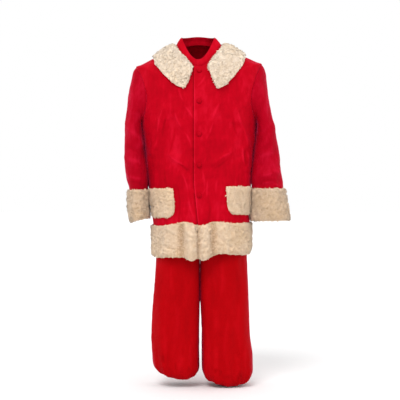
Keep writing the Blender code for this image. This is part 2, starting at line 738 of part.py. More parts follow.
def sleeve_points(side, rows, at):
    """Rings from the armhole to the wrist; the armhole's own shape fades out down the sleeve."""
    sweep = np.pi * np.arange(2 * ARMHOLE_STEPS) / ARMHOLE_STEPS

    def oval(ring):
        value = {name: column(SLEEVE_COLUMNS, rows, name, ring) for name in SLEEVE_COLUMNS[1:]}
        cos = np.cos(sweep)[None, :]
        sin = np.sin(sweep)[None, :]
        mid_x = (value["outer_x"] + value["inner_x"])[:, None] / 2
        mid_z = (value["outer_z"] + value["inner_z"])[:, None] / 2
        arm_x = (value["outer_x"] - value["inner_x"])[:, None] / 2
        arm_z = (value["outer_z"] - value["inner_z"])[:, None] / 2
        y = value["middle_y"][:, None] - value["half_deep"][:, None] * sin
        points = np.stack((side * (mid_x + arm_x * cos), y, mid_z + arm_z * cos), axis=-1)
        return points, value["armhole"]

    edge, edge_out = armhole_ring(side)
    first, _ = oval(np.array((0.0,)))
    points, share = oval(np.asarray(at, float))
    points = points + share[:, None, None] * (edge - first[0])
    return points, edge_out


def sleeve_surface(side, rows, at):
    """Sleeve points with their folds, and the outward directions."""
    points, edge_out = sleeve_points(side, rows, at)
    normal = grid_outward(points, True)
    middle = points.mean(axis=1, keepdims=True)
    shifted = points - np.array((0, 1, 0)) * middle
    lift = fold_height(shifted, SLEEVE_FOLDS, -1)
    if at[0] == 0:
        normal[0] = edge_out
        lift[0] = 0
    return points + normal * lift[..., None], normal


def make_sleeves(collection):
    """Both sleeves and their deep pile cuffs."""
    for name, side, rows in (("right", -1, RIGHT_SLEEVE), ("left", 1, LEFT_SLEEVE)):
        outer, normal = sleeve_surface(side, rows, SLEEVE_ROWS)
        sleeve = "sleeve_" + name
        wall(sleeve, outer, outer - normal * VELVET_THICK, True, velvet(sleeve, RED), collection)
        at = np.arange(len(SLEEVE_ROWS))
        place = np.interp(CUFF_ROWS, SLEEVE_ROWS, at)
        low = np.clip(np.floor(place).astype(int), 0, len(at) - 2)
        share = (place - low)[:, None, None]
        base = outer[low] * (1 - share) + outer[low + 1] * share
        out = unit(normal[low] * (1 - share) + normal[low + 1] * share)
        base[-1] = base[-1] + unit(outer[-1] - outer[-2]) * BAND_LEFT_BARE
        inner = base + out * PILE_SEAT
        cuff = inner + out * PILE_THICK * np.array(CUFF_PROFILE)[:, None, None]
        wall("cuff_fur_" + name, cuff, inner, True, pile("cuff_fur_" + name, CREAM), collection)


def make_buttons(panels, collection):
    """Covered buttons: flattened domes standing on the lap."""
    panel = panels["jacket_front_left"]
    lap = panel["outer"][:, BUTTON_LINE, 2]
    for number, z in enumerate(BUTTON_HEIGHTS, 1):
        row = np.interp(-z, -lap, np.arange(len(lap), dtype=float))
        upper = panel["outer"][int(row)]
        line = np.interp(BUTTON_X, upper[:, 0], np.arange(len(upper)))
        round_way = 4 * QUARTER * np.arange(BUTTON_SAMPLES) / BUTTON_SAMPLES
        height = lap[int(row)] - lap[int(row) + 1]
        width = upper[int(line) + 1, 0] - upper[int(line), 0]
        near, _ = patch(panel, row + np.cos(round_way) * BUTTON_RADIUS / height,
                        line + np.sin(round_way) * BUTTON_RADIUS / width)
        middle, facing = patch(panel, np.array(row), np.array(line))
        seat = middle + facing * (max(0, np.max((near - middle) @ facing)) + BUTTON_SEAT)
        shape = bmesh.new()
        bmesh.ops.create_uvsphere(shape, u_segments=10, v_segments=6, radius=1.0)
        for vertex in shape.verts:
            flat = BUTTON_DEEP if vertex.co.z > 0 else BUTTON_UNDERSIDE
            across = Vector((vertex.co.x, vertex.co.y, 0)) * BUTTON_RADIUS
            vertex.co = (across + Vector((0, 0, vertex.co.z * flat + BUTTON_UNDERSIDE))) * METRE
        tilt = Vector((0, 0, 1)).rotation_difference(Vector(facing)).to_matrix().to_4x4()
        shape.transform(Matrix.Translation(Vector(seat) * METRE) @ tilt)
        name = "button_" + str(number)
        mesh = bpy.data.meshes.new(name)
        shape.to_mesh(mesh)
        shape.free()
        mesh.shade_smooth()
        mesh.materials.append(velvet(name, DARK_RED))
        collection.objects.link(bpy.data.objects.new(name, mesh))


def leg_places(rows):
    """Places down a leg's table, with more of them between rows that stand far apart."""
    drops = np.abs(np.diff(table_column(LEG_COLUMNS, rows, "z")))
    parts = np.maximum(1, np.round(drops / LEG_ROW_APART)).astype(int)
    places = [k + np.arange(count) / count for k, count in enumerate(parts)]
    return np.concatenate(places + [np.array((len(parts),))])


def trouser_panel_points(side, rows, part, places, shares):
    """Points of one panel: hip ring above the crotch, leg ring below, mixed by the leg share."""
    order = np.arange(len(rows))
    leg = {name: smooth_curve(order, table_column(LEG_COLUMNS, rows, name), places)[:, None]
           for name in LEG_COLUMNS}
    z = leg["z"]
    hip = {name: smooth_curve(-table_column(HIP_COLUMNS, HIP_RINGS, "z"),
                              table_column(HIP_COLUMNS, HIP_RINGS, name), -z) for name in HIP_COLUMNS}
    face = -1 if part == "front" else 1
    swing = QUARTER * shares
    reach = squared_reach(swing, hip["half"], hip[part], BODY_SQUARE)
    hip_x = reach * np.sin(swing) + SEAM_GAP / 2
    hip_y = face * reach * np.cos(swing)
    turn = -QUARTER + 2 * QUARTER * shares
    half = (leg["outer"] - leg["inner"]) / 2
    square = LEG_SQUARE_OUTSIDE + (LEG_SQUARE_INSIDE - LEG_SQUARE_OUTSIDE) * ease(-np.sin(turn))
    reach = squared_reach(turn, half, leg[part], square) + leg["gather"] * np.cos(LEG_GATHERS * turn)
    leg_x = leg["outer"] - half + reach * np.sin(turn)
    leg_y = face * reach * np.cos(turn)
    mix = hip["leg_share"]
    x = hip_x * (1 - mix) + leg_x * mix
    y = hip_y * (1 - mix) + leg_y * mix
    droop = leg["droop"] * (np.cos(turn) ** 2 + side * LEG_SLANT * np.sin(turn))
    return np.stack((TROUSER_CENTRE + side * x, y, z - droop), axis=-1), mix


def trouser_ring(side, rows, places, shares):
    """Both panels of one leg as one band, from the front's inner edge round to the back's."""
    front, mix = trouser_panel_points(side, rows, "front", places, shares)
    back, mix = trouser_panel_points(side, rows, "back", places, shares)
    full = np.concatenate((front, back[:, -2::-1]), axis=1)
    middle = full.mean(axis=1, keepdims=True) * np.array((1, 1, 0)) + full * np.array((0, 0, 1))
    normal = grid_outward(full, False, middle)
    inward = np.array((-side, 0.0, 0.0))
    ahead = np.array((0.0, -1.0, 0.0))
    normal[:, 0] = unit(normal[:, 0] * np.array((1, 0, 1)) + inward * SMALL_TURN)
    normal[:, -1] = normal[:, 0]
    hips = np.nonzero(mix[:, 0] < 1)[0]
    normal[hips, 0] = unit(inward * mix[hips] + ahead * (1 - mix[hips]))
    normal[hips, -1] = unit(inward * mix[hips] - ahead * (1 - mix[hips]))
    return full, normal


def make_trousers(collection):
    """Four trouser panels, each from the waist to the gathered ankle."""
    shares = np.arange(LEG_STEPS + 1) / LEG_STEPS
    halves = (("front", -1, slice(0, LEG_STEPS + 1)), ("back", 1, slice(LEG_STEPS, None)))
    for name, side, rows in (("right", -1, RIGHT_LEG), ("left", 1, LEFT_LEG)):
        full, normal = trouser_ring(side, rows, leg_places(rows), shares)
        for part, face, block in halves:
            out = normal[:, block]
            lift = fold_height(full[:, block], TROUSER_FOLDS, face)
            outer = full[:, block] + out * lift[..., None]
            outer[:, (0, -1), 1] += face * SEAM_GAP / 2
            panel = "trouser_" + part + "_" + name
            wall(panel, outer, outer - out * VELVET_THICK, False, velvet(panel, DARK_RED), collection)


def make_waistband(collection):
    """A plain waistband, standing on the trouser panels."""
    turns = 4 * QUARTER * np.arange(WAISTBAND_STEPS) / WAISTBAND_STEPS
    turn, z = np.meshgrid(turns, np.array((WAISTBAND_TOP, WAISTBAND_FOOT)))
    waist = dict(zip(HIP_COLUMNS, HIP_RINGS[0]))
    deep = np.where(np.cos(turn) >= 0, waist["front"], waist["back"])
    reach = squared_reach(turn, waist["half"], deep, BODY_SQUARE)
    outer = np.stack((TROUSER_CENTRE + reach * np.sin(turn), -reach * np.cos(turn), z), axis=-1)
    inner = outer - grid_outward(outer, True) * WAISTBAND_THICK
    wall("waistband", outer, inner, True, velvet("waistband", DARK_RED), collection)


def main():
    remove_everything()
    suit = bpy.data.collections.new("santa_suit")
    bpy.context.scene.collection.children.link(suit)
    panels = make_jacket_panels(suit)
    make_hem_bands(panels, suit)
    make_pockets(panels, suit)
    make_stand_collar(suit)
    make_fur_collar(suit)
    make_sleeves(suit)
    make_buttons(panels, suit)
    make_trousers(suit)
    make_waistband(suit)


main()
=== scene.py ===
"""Looks of the santa suit: velvet shells, pile trims, covered buttons, floor, light and camera.

The front faces -Y, the wearer's left is +X. Sizes are millimetres until a mesh is made.
"""

import math

import bpy
import numpy as np
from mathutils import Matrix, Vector


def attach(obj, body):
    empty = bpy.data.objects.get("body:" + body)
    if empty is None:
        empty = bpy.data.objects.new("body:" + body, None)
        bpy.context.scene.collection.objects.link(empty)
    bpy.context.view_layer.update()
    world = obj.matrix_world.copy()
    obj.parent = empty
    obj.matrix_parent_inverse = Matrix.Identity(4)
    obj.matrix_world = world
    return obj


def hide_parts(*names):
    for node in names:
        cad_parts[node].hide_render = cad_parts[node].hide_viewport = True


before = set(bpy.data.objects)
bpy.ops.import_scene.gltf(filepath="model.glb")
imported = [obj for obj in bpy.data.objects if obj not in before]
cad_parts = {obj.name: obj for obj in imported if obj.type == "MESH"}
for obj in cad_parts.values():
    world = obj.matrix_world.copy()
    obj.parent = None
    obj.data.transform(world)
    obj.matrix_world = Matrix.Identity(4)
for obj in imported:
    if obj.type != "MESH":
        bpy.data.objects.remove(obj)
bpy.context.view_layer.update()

# one millimetre in Blender's metres, and a full and a quarter turn in radians
MILLIMETRE = 0.001
FULL_TURN = 2 * math.pi
QUARTER = math.pi / 2

# the gap at a seam, and thicknesses: the solids' velvet, the thinner wall shown, and the rest
SEAM_GAP = 0.3
VELVET_THICK = 2.0
CLOTH = 1.6
STAND_THICK = 3.0
PILE_THICK = 12.0
COLLAR_PILE_THICK = 15.0

# jacket body: each row is one ring, level is the way down the side from the neck
BODY_COLUMNS = ("level", "right", "left", "front", "back", "z_front", "z_right", "z_left", "z_back")
BODY_RINGS = (
    (0, 96, 96, 82, 62, -94, 0, 0, 14),
    (35, 131, 131, 98, 84, -122, -14, -10, -14),
    (75, 166, 168, 113, 102, -152, -38, -32, -48),
    (105, 187, 188, 122, 113, -174, -53, -45, -74),
    (162, 240, 240, 133, 127, -206, -79, -69, -124),
    (190, 264, 264, 137, 132, -224, -91, -79, -150),
    (250, 261, 260, 142, 138, -252, -148, -140, -196),
    (310, 255, 254, 146, 141, -281, -206, -202, -240),
    (375, 247, 247, 148, 142, -310, -269, -267, -288),
    (440, 240, 243, 149, 142, -342, -332, -332, -336),
    (500, 232, 237, 148, 140, -395, -392, -392, -393),
    (600, 221, 226, 147, 137, -492, -492, -492, -492),
    (700, 210, 219, 146, 137, -592, -592, -592, -592),
    (800, 198, 214, 147, 140, -692, -692, -692, -692),
    (850, 192, 212, 148, 142, -742, -742, -742, -742),
    (1030, 187, 210, 150, 146, -922, -922, -922, -922),
)
BODY_SQUARE = 2.3
LEVEL_AT_ZERO = 108.0

# armhole oval, cut in the side of the body rings
SHOULDER_TIP = 190.0
UNDERARM = 440.0
ARMHOLE_TURN = math.radians(21.5)

# edge of the hem band round the body: turn in degrees from the centre front
HEM_COLUMNS = ("turn", "top", "bottom")
HEM_LINE = (
    (-180, -742, -880),
    (-90, -752, -876),
    (-60, -754, -884),
    (-40, -746, -880),
    (-22, -736, -881),
    (-12, -742, -895),
    (-2, -750, -886),
    (6, -750, -893),
    (22, -736, -874),
    (32, -737, -865),
    (50, -743, -870),
    (70, -742, -873),
    (90, -742, -860),
    (180, -742, -880),
)

# the lapped edge: heights and distances from the centre, and how far the front under it goes in
LAP_EDGE = ((-60, -20), (-585, -20), (-740, -4), (-900, -2))
UNDERLAP_START = 6.0
UNDERLAP_EASE = 26.0
LAP_GAP = 0.5

# first guesses, rounds and small steps of the places that are found by trying
REACH_GUESS = 140.0
TURN_TRIES = 14
LEVEL_GUESS = 700.0
HEM_TRIES = 4
SMALL_TURN = 0.004
SMALL_LEVEL = 0.5

# folds and creases: a line from top to foot, its half width and its height; they fade at the side
LINE_COLUMNS = ("x_top", "z_top", "x_foot", "z_foot", "reach", "height")
FOLD_FADE = 50.0

# large folds, as the solids have them: the jacket in front and behind
JACKET_FOLDS = (
    (-142, -280, -190, -450, 17, 7),
    (-112, -330, -160, -480, 16, -5),
    (155, -280, 196, -420, 17, 7),
    (120, -320, 160, -470, 16, -5),
    (-80, -200, -24, -318, 15, 5),
    (-96, -285, -32, -428, 16, 5),
    (-112, -465, -50, -512, 15, 6),
    (-84, -490, -44, -540, 13, -4),
    (88, -244, 24, -402, 17, 5),
    (128, -452, 60, -498, 15, 6),
    (-66, -540, -24, -712, 15, 5),
    (-110, -560, -96, -735, 17, -5),
    (60, -560, 50, -735, 16, -5),
    (176, -440, 200, -520, 11, 5),
    (-32, -770, -30, -900, 16, 12),
    (-70, -750, -72, -900, 13, -9),
    (-2, -750, -2, -900, 10, -7),
    (26, -770, 24, -900, 13, 10),
    (56, -750, 58, -900, 13, -9),
    (104, -760, 108, -900, 18, 5),
    (-124, -760, -124, -900, 20, 5),
)
BACK_FOLDS = (
    (-60, -190, -96, -420, 22, 5),
    (70, -190, 104, -400, 22, 5),
    (0, -300, 6, -600, 26, -4),
    (-118, -480, -78, -650, 20, 5),
    (120, -470, 84, -640, 20, 5),
    (-110, -730, -112, -890, 22, 7),
    (-36, -730, -34, -890, 20, -7),
    (40, -730, 44, -890, 22, 8),
    (120, -730, 124, -890, 20, -6),
)

# stand collar: its top ring, tilted down to the front
STAND_TOP = {"half": 70, "front": 68, "back": 54, "z_front": -64, "z_side": 36, "z_back": 46}
STAND_SHIFT = -4.0
STAND_OPEN_X = -11.0
STAND_BOW = 3.0
STAND_SEAT = 0.8
STAND_TUCK = 1.8
STAND_LEAN_OVER = 6.0

# flat pile collar: where its edge stands, by turns of the neck and of the body
COLLAR_COLUMNS = ("turn", "neck_level", "edge_turn", "edge_level")
COLLAR_EDGE = (
    (-16, 20, -22, 150),
    (-20, 14, -25.5, 176),
    (-28, 8, -35, 190),
    (-44, 5, -50, 175),
    (-62, 5, -61, 146),
    (-76, 5, -75, 116),
    (-90, 5, -90, 105),
    (-130, 5, -128, 98),
    (-180, 5, -180, 94),
    (-230, 5, -232, 98),
    (-270, 5, -270, 105),
    (-284, 5, -285, 118),
    (-298, 5, -299, 158),
    (-312, 5, -311, 192),
    (-326, 8, -321, 211),
    (-334, 16, -328.5, 204),
    (-338, 27, -332, 178),
)

# sleeve rings: outer and inner ends seen from the front, then the middle and half depth
SLEEVE_COLUMNS = ("ring", "outer_x", "outer_z", "inner_x", "inner_z", "middle_y", "half_deep", "armhole")
RIGHT_SLEEVE = (
    (0, 264, -91, 238, -332, 0, 86, 1.0),
    (1, 276, -112, 243, -329, 0, 86, 0.75),
    (2, 287, -160, 242.5, -338, -1, 84, 0.35),
    (3, 296, -212, 240.5, -356, -3, 82, 0.1),
    (4, 304, -276, 236, -384, -6, 80, 0.0),
    (5, 310, -346, 231, -418, -10, 79, 0.0),
    (6, 313, -424, 226, -462, -15, 78, 0.0),
    (7, 310, -496, 220, -512, -20, 78, 0.0),
    (8, 303, -556, 216, -560, -24, 78, 0.0),
    (9, 292, -606, 226, -604, -28, 77, 0.0),
    (10, 287, -672, 226, -660, -31, 77, 0.0),
    (11, 280, -734, 223, -716, -34, 77, 0.0),
)
LEFT_SLEEVE = (
    (0, 264, -79, 240, -332, 0, 86, 1.0),
    (1, 276, -102, 246, -329, 0, 86, 0.75),
    (2, 283, -152, 245.5, -338, -1, 84, 0.35),
    (3, 290, -206, 244.5, -354, -3, 81, 0.1),
    (4, 302, -276, 241, -380, -6, 78, 0.0),
    (5, 318, -350, 237, -412, -10, 75, 0.0),
    (6, 334, -426, 232, -452, -15, 72, 0.0),
    (7, 341, -494, 226.5, -500, -21, 70, 0.0),
    (8, 346, -552, 222, -550, -27, 68, 0.0),
    (9, 350, -600, 233, -600, -32, 66, 0.0),
    (10, 361, -664, 236, -664, -36, 65, 0.0),
    (11, 370, -726, 234, -728, -40, 65, 0.0),
)
SLEEVE_FOLDS = (
    (262, -545, 330, -528, 13, 6),
    (256, -588, 336, -572, 11, -4),
    (-302, -330, -246, -420, 16, 5),
    (-304, -470, -240, -520, 15, 5),
    (318, -330, 254, -440, 17, 6),
    (330, -440, 262, -500, 15, -4),
)

# patch pockets: turns in degrees, heights, and the radius of the lower corners
POCKET_COLUMNS = ("near_turn", "far_turn", "top", "bottom", "corner")
RIGHT_POCKET = (-38, -78, -600, -718, 34)
LEFT_POCKET = (41, 80, -592, -706, 34)
POCKET_PANEL_LINE = 20

# covered buttons down the front: heights, then the outline of one from its middle to its back
BUTTON_X = 1.0
BUTTON_HEIGHTS = (-116, -244, -379, -505, -628)
BUTTON_RADII = (0.0, 3.5, 6.6, 8.8, 9.9, 10.2, 9.6, 7.5)
BUTTON_RISES = (7.4, 7.1, 6.0, 4.4, 3.0, 2.0, 1.0, 0.1)
BUTTON_SEAT = 0.8
BUTTON_SIDES = 48
BUTTON_STEPS = 26
BUTTON_PUCKERS = 11
BUTTON_PUCKER_HIGH = 0.5
BUTTON_PUCKER_FROM = 4
BUTTON_PUCKER_OVER = 3
BUTTON_LINE_END = 900.0
BUTTON_LINE_STEPS = 2000

# trousers: hip rings above, leg rings below; u runs from the centre or inside leg to the side
HIP_COLUMNS = ("z", "half", "front", "back", "leg_share")
HIP_RINGS = (
    (-505, 166, 112, 106, 0.0),
    (-600, 176, 118, 116, 0.0),
    (-700, 184, 120, 122, 0.12),
    (-780, 186, 118, 122, 0.5),
    (-850, 186, 114, 118, 1.0),
    (-1420, 186, 114, 118, 1.0),
)
LEG_COLUMNS = ("z", "inner", "outer", "front", "back", "droop", "gather")
RIGHT_LEG = (
    (-505, 0.2, 172, 112, 106, 0, 0),
    (-850, 0.2, 182, 112, 114, 0, 0),
    (-885, 0.2, 184, 110, 112, 0, 0),
    (-1000, 0.2, 191, 100, 104, 0, 0),
    (-1060, 0.6, 196, 96, 100, 0, 0),
    (-1110, 2, 200, 94, 98, 0, 0),
    (-1210, 4, 203, 92, 97, 0, 0),
    (-1290, 4, 200, 92, 96, 1, 1),
    (-1332, 4, 196, 92, 95, 5, 2),
    (-1354, 8, 188, 89, 92, 9, 3),
    (-1369, 20, 171, 80, 82, 12, 4),
    (-1375, 36, 152, 66, 68, 14, 4),
    (-1366, 46, 142, 58, 60, 14, 3),
)
LEFT_LEG = (
    (-505, 0.2, 172, 112, 106, 0, 0),
    (-850, 0.2, 192, 112, 116.3, 0, 0),
    (-885, 0.2, 195, 110, 112, 0, 0),
    (-1000, 0.2, 202, 100, 104, 0, 0),
    (-1060, 1.2, 204, 96, 100, 0, 0),
    (-1110, 4, 206, 94, 98, 0, 0),
    (-1210, 8, 210, 92, 97, 0, 0),
    (-1300, 8, 221, 94, 97, 1, 1),
    (-1352, 10, 221, 94, 97, 5, 2),
    (-1380, 18, 214, 91, 94, 9, 3),
    (-1398, 34, 196, 82, 84, 12, 4),
    (-1404, 52, 176, 68, 70, 14, 4),
    (-1394, 62, 166, 60, 62, 14, 3),
)
TROUSER_CENTRE = 4.0
LEG_SQUARE_INSIDE = 3.6
LEG_SQUARE_OUTSIDE = 2.3

# ankles: large gathers with small ones on them, and the share of the droop that slants the hem
LEG_GATHERS = 12
SMALL_GATHERS = 31
SMALL_GATHER_SHARE = 0.55
LEG_SLANT = 0.55
TROUSER_FOLDS = (
    (-120, -900, -100, -1200, 18, 5),
    (-60, -1000, -70, -1290, 16, -4),
    (-160, -1080, -150, -1330, 16, 4),
    (96, -900, 84, -1180, 18, 5),
    (150, -960, 160, -1290, 18, -4),
    (60, -1120, 66, -1340, 16, 5),
    (126, -1180, 118, -1360, 16, 5),
)

# waistband: its edges, its pleats and their depth, and its cloth
WAISTBAND_TOP = -466.0
WAISTBAND_FOOT = -504.4
WAISTBAND_PLEATS = 48
WAISTBAND_PLEAT_DEEP = 1.2
WAISTBAND_CLOTH = 2.5

# how finely the shells are divided
ARMHOLE_STEPS = 56
SHOULDER_STEPS = 40
SKIRT_STEPS = 100
BAND_STEPS = 26
FRONT_STEPS = 86
BACK_STEPS = 66
UNDERLAP_STEPS = 8
SLEEVE_STEPS = 98
LEG_STEPS = 56
POCKET_LINES = 36
POCKET_ROWS = 32
COLLAR_STEPS = 120
COLLAR_ROWS = 22
STAND_LINES = 90
STAND_ROWS = 14
CUFF_STEPS = 26
LEG_ROWS = 96
LEG_FOOT_ROWS = 60
LEG_FOOT_RINGS = 6
WAISTBAND_LINES = 180
WAISTBAND_ROWS = 8

# seam edges turn in: lines close to the edge, in steps, then depth and width of the roll
EDGE_PLACES = (0.12, 0.3, 0.6)
ROLL_DEEP = 1.1
ROLL_REACH = 3.2

# a leg's edges turn in less, not at all along its inside, and the cloth lies smooth near a seam
LEG_ROLL_SHARE = 0.8
LEG_ROLL_FREE = 12.0
LEG_SEAM_SHARE = 0.08

# fine creases: each bows aside by a share of its length and is narrower at its ends
CREASE_BOW = 0.22
CREASE_START = 0.04
CREASE_SWELL = 0.8
CREASE_END_WIDTH = 0.55
FRONT_CREASES = (
    (-83, -195, -60, -250, 3.6, 1.4),
    (-62, -262, -22, -322, 3.6, 1.6),
    (-98, -290, -70, -352, 4.2, 1.4),
    (-58, -372, -30, -430, 4.2, 1.7),
    (-116, -468, -58, -506, 3.6, 1.8),
    (-84, -498, -46, -530, 3, -1.7),
    (-146, -276, -166, -372, 4.2, 2.1),
    (-166, -380, -190, -452, 3.6, 1.7),
    (-128, -300, -150, -400, 3.6, -1.7),
    (-100, -350, -128, -470, 4.2, -1.4),
    (156, -280, 178, -352, 4.2, 2.1),
    (180, -356, 194, -420, 3.6, 1.8),
    (138, -300, 160, -392, 3.6, -1.7),
    (30, -130, -6, -182, 3.6, 1.4),
    (90, -246, 54, -322, 4.2, 1.7),
    (56, -330, 26, -404, 3.6, 1.4),
    (130, -454, 66, -494, 3.6, 2),
    (120, -476, 60, -520, 3.6, -1.4),
    (178, -436, 184, -500, 3.2, 2.6),
    (196, -440, 200, -514, 3.2, 2.6),
    (188, -446, 192, -506, 3.2, -3.6),
    (-66, -544, -44, -628, 3.6, 1.6),
    (-42, -634, -22, -716, 3.6, 1.4),
    (-92, -580, -84, -736, 4.2, -1.7),
    (40, -560, 34, -640, 3.6, 1.3),
    (42, -650, 38, -736, 4.8, -1.7),
    (76, -560, 70, -620, 3.6, 1.2),
    (150, -560, 146, -590, 4.8, 1.3),
    (-140, -520, -132, -590, 4.8, -1.3),
    (10, -520, 22, -600, 4.2, 1.2),
    (-30, -470, -12, -500, 3, 1.3),
    (30, -470, 16, -500, 3, 1.3),
    (-26, -600, -14, -626, 3, 1.2),
    (24, -600, 14, -622, 3, 1),
    (-70, -130, -90, -200, 5.4, -1),
    (100, -130, 120, -210, 5.4, -1),
)
BACK_CREASES = (
    (-66, -200, -90, -330, 5.9, 1.2),
    (-96, -300, -120, -440, 5.2, 1.3),
    (72, -200, 92, -340, 5.9, 1.2),
    (100, -310, 122, -430, 5.2, 1.3),
    (-24, -330, -14, -560, 6.5, -1),
    (26, -300, 22, -520, 6.5, 0.9),
    (-130, -470, -90, -560, 5.2, 1.4),
    (132, -460, 92, -560, 5.2, 1.4),
    (-60, -600, -70, -740, 5.9, 1.1),
    (56, -590, 66, -740, 5.9, 1.1),
    (-6, -600, 0, -740, 6.5, -1),
    (-150, -560, -140, -700, 5.9, 1),
    (150, -560, 146, -700, 5.9, 1),
)
SLEEVE_CREASES = (
    (252, -548, 304, -534, 4.5, 1.4),
    (300, -526, 342, -542, 4.5, 1.1),
    (248, -566, 316, -560, 4.5, -1.2),
    (252, -586, 306, -572, 4.5, 1.3),
    (300, -574, 346, -590, 4.5, 1),
    (256, -380, 296, -330, 7.2, 1.1),
    (252, -440, 306, -404, 7.2, -1),
    (250, -470, 316, -452, 7.2, 1),
    (290, -180, 284, -330, 8.1, 1),
    (312, -300, 330, -420, 7.2, 0.8),
    (-244, -400, -296, -350, 7.2, 1.1),
    (-240, -450, -304, -414, 7.2, -1),
    (-234, -500, -300, -478, 6.3, 1.1),
    (-230, -560, -290, -548, 5.4, 1.2),
    (-232, -584, -286, -572, 4.5, -1.1),
    (-284, -170, -290, -320, 8.1, 1),
    (-304, -330, -306, -460, 7.2, 0.8),
)
TROUSER_CREASES = (
    (-110, -900, -104, -1040, 8.1, 0.8),
    (-100, -1060, -96, -1240, 9, 0.8),
    (-150, -930, -158, -1100, 9, -0.7),
    (-60, -960, -64, -1100, 8.1, 0.8),
    (-40, -1080, -44, -1260, 9, -0.7),
    (-150, -1160, -144, -1330, 8.1, 0.9),
    (-120, -1240, -126, -1350, 7.2, -0.8),
    (-80, -1260, -84, -1370, 7.2, 0.8),
    (-24, -1200, -30, -1350, 7.2, 0.7),
    (92, -900, 88, -1050, 8.1, 0.8),
    (84, -1070, 78, -1230, 9, 0.8),
    (150, -920, 158, -1090, 9, -0.7),
    (170, -1080, 176, -1280, 8.1, 0.8),
    (50, -960, 46, -1120, 8.1, -0.7),
    (120, -1140, 116, -1330, 8.1, 0.9),
    (66, -1240, 70, -1380, 7.2, 0.9),
    (90, -1260, 92, -1390, 7.2, -0.8),
    (150, -1270, 152, -1390, 7.2, 0.8),
    (196, -1240, 196, -1370, 7.2, 0.7),
    (30, -1180, 30, -1350, 7.2, 0.8),
    (76, -1338, 68, -1362, 5, -2.4),
    (90, -1346, 88, -1372, 4, -2.0),
    (170, -1352, 178, -1392, 6, -3.0),
    (158, -1368, 160, -1400, 4, -1.6),
    (-148, -1282, -142, -1320, 5, -2.6),
    (-40, -1330, -46, -1362, 4, -1.8),
    (-96, -1318, -92, -1352, 4, -1.6),
)

# finer creases on the hidden side of the sleeves and trousers
BACK_SLEEVE_CREASES = (
    (258, -380, 330, -350, 7.2, 1.3),
    (250, -440, 330, -430, 7.2, -1.3),
    (250, -500, 336, -510, 7.2, 1.4),
    (262, -560, 340, -552, 6.4, 1.2),
    (-252, -380, -312, -350, 7.2, 1.3),
    (-246, -440, -312, -430, 7.2, -1.3),
    (-240, -500, -310, -510, 7.2, 1.4),
    (-236, -560, -300, -552, 6.4, 1.2),
)
BACK_TROUSER_CREASES = (
    (-100, -900, -96, -1100, 9.9, 1),
    (-60, -940, -72, -1240, 9.9, -1),
    (-150, -1000, -156, -1300, 9.9, 1),
    (-110, -1180, -112, -1350, 8.1, 1),
    (-40, -1160, -40, -1340, 8.1, 0.9),
    (100, -900, 96, -1100, 9.9, 1),
    (60, -940, 66, -1240, 9.9, -1),
    (150, -1000, 160, -1320, 9.9, 1),
    (106, -1180, 108, -1380, 8.1, 1),
    (44, -1160, 46, -1370, 8.1, 0.9),
)

# pile: locks for each square metre, their size, and the clumps that they lie in
LOCKS_A_METRE = 53000
LOCK_LONG = 7.0
LOCK_WIDE = 2.6
LONG_RANGE = (0.65, 1.15)
PALE_RANGE = (0.85, 1.05)
CLUMP_WIDE = 13.0
# how tall the clumps stand: their middle share, its swing, and their width in clumps
TALL_SHARE = 0.85
TALL_SWING = 0.25
TALL_CLUMPS = 1.6
# which way a lock is lit, leans, bends and curls
TUFT_OWN_WAY = 0.35
LEAN_CLUMP = 0.75
LEAN_OWN = 0.35
LEAN_DOWN = -0.18
LEAN_BEND = 0.8
TWIST_BEND = 0.35
CROSSWAY = (0.31, 0.52, 0.79)
CURL = 0.55
CURL_TWIST = 0.9
# a lock's three rings and its tip: share of the length, share of the width, and nap value
LOCK_RINGS = ((-0.25, 0.75, 0.35), (0.3, 1.0, 0.6), (0.68, 0.7, 0.8))
LOCK_SIDES = 3
LOCK_TIP = (0.72, 0.9)
# the body under the locks: its share of the thickness, and what a clump adds
BODY_LOW = 0.44
BODY_CLUMP = 0.3
# its value, and how folds swell it, paint shade in its valleys and paint highlight on its ridges
VALUE_LOW = 0.35
VALUE_CLUMP = 0.3
FOLD_FULL = 6.0
FOLD_SWELL = 0.22
FOLD_PAINTED_SHADE = 0.5
FOLD_PAINTED_HIGHLIGHT = 0.15
# seeds of the trims' clumps and locks
HEM_SEED = 20
POCKET_SEED = 30
COLLAR_SEED = 50
CUFF_SEED = 70

# floor and camera
FLOOR_Z = -1424.0
FLOOR_HALF = 60000.0
FLOOR_SHADE = 0.78
CAMERA_AWAY = 4500.0
CAMERA_X = 4.2
CAMERA_Z = -647.0
FIELD = 1680.0
SENSOR = 36.0

# lights: the way round the garment and up in degrees, the strength, and the width in degrees
WORLD_LIGHT = 1.0
LIGHTS = (
    ("key_light", -18, 50, 1.5, 24),
    ("fill_light", 48, 26, 0.4, 40),
    ("side_light", 104, 20, 0.25, 20),
    ("far_side_light", -104, 20, 0.25, 20),
)

# how the trims sit and where they end
BAND_LEFT_BARE = 6.0
LAP_TURN_GAP = 0.005
UNDERLAP_SHARE = 1 / 6
SEAM_REACH = 240.0
ARMHOLE_REACH = 230.0
ARMHOLE_INSET = SEAM_GAP + 0.1
PILE_SEAT = 0.5
POCKET_SEAT = 0.8
COLLAR_SEAT = 2.9
COLLAR_CROWD = 0.55
STAND_END_GAP = 0.004
CUFF_RING = 9.0

# the arms hang against the body: how far their inner side is pressed in, and over how many rings
SLEEVE_EASE = 1.5
CUFF_PRESS_EASE = 1.2
SLEEVE_PRESS = {"right": 6.0, "left": 6.0}
CUFF_PRESS = {"right": 6.5, "left": 5.5}

# the jacket lies smooth under the collar
QUIET_FROM = 60.0
QUIET_OVER = 120.0

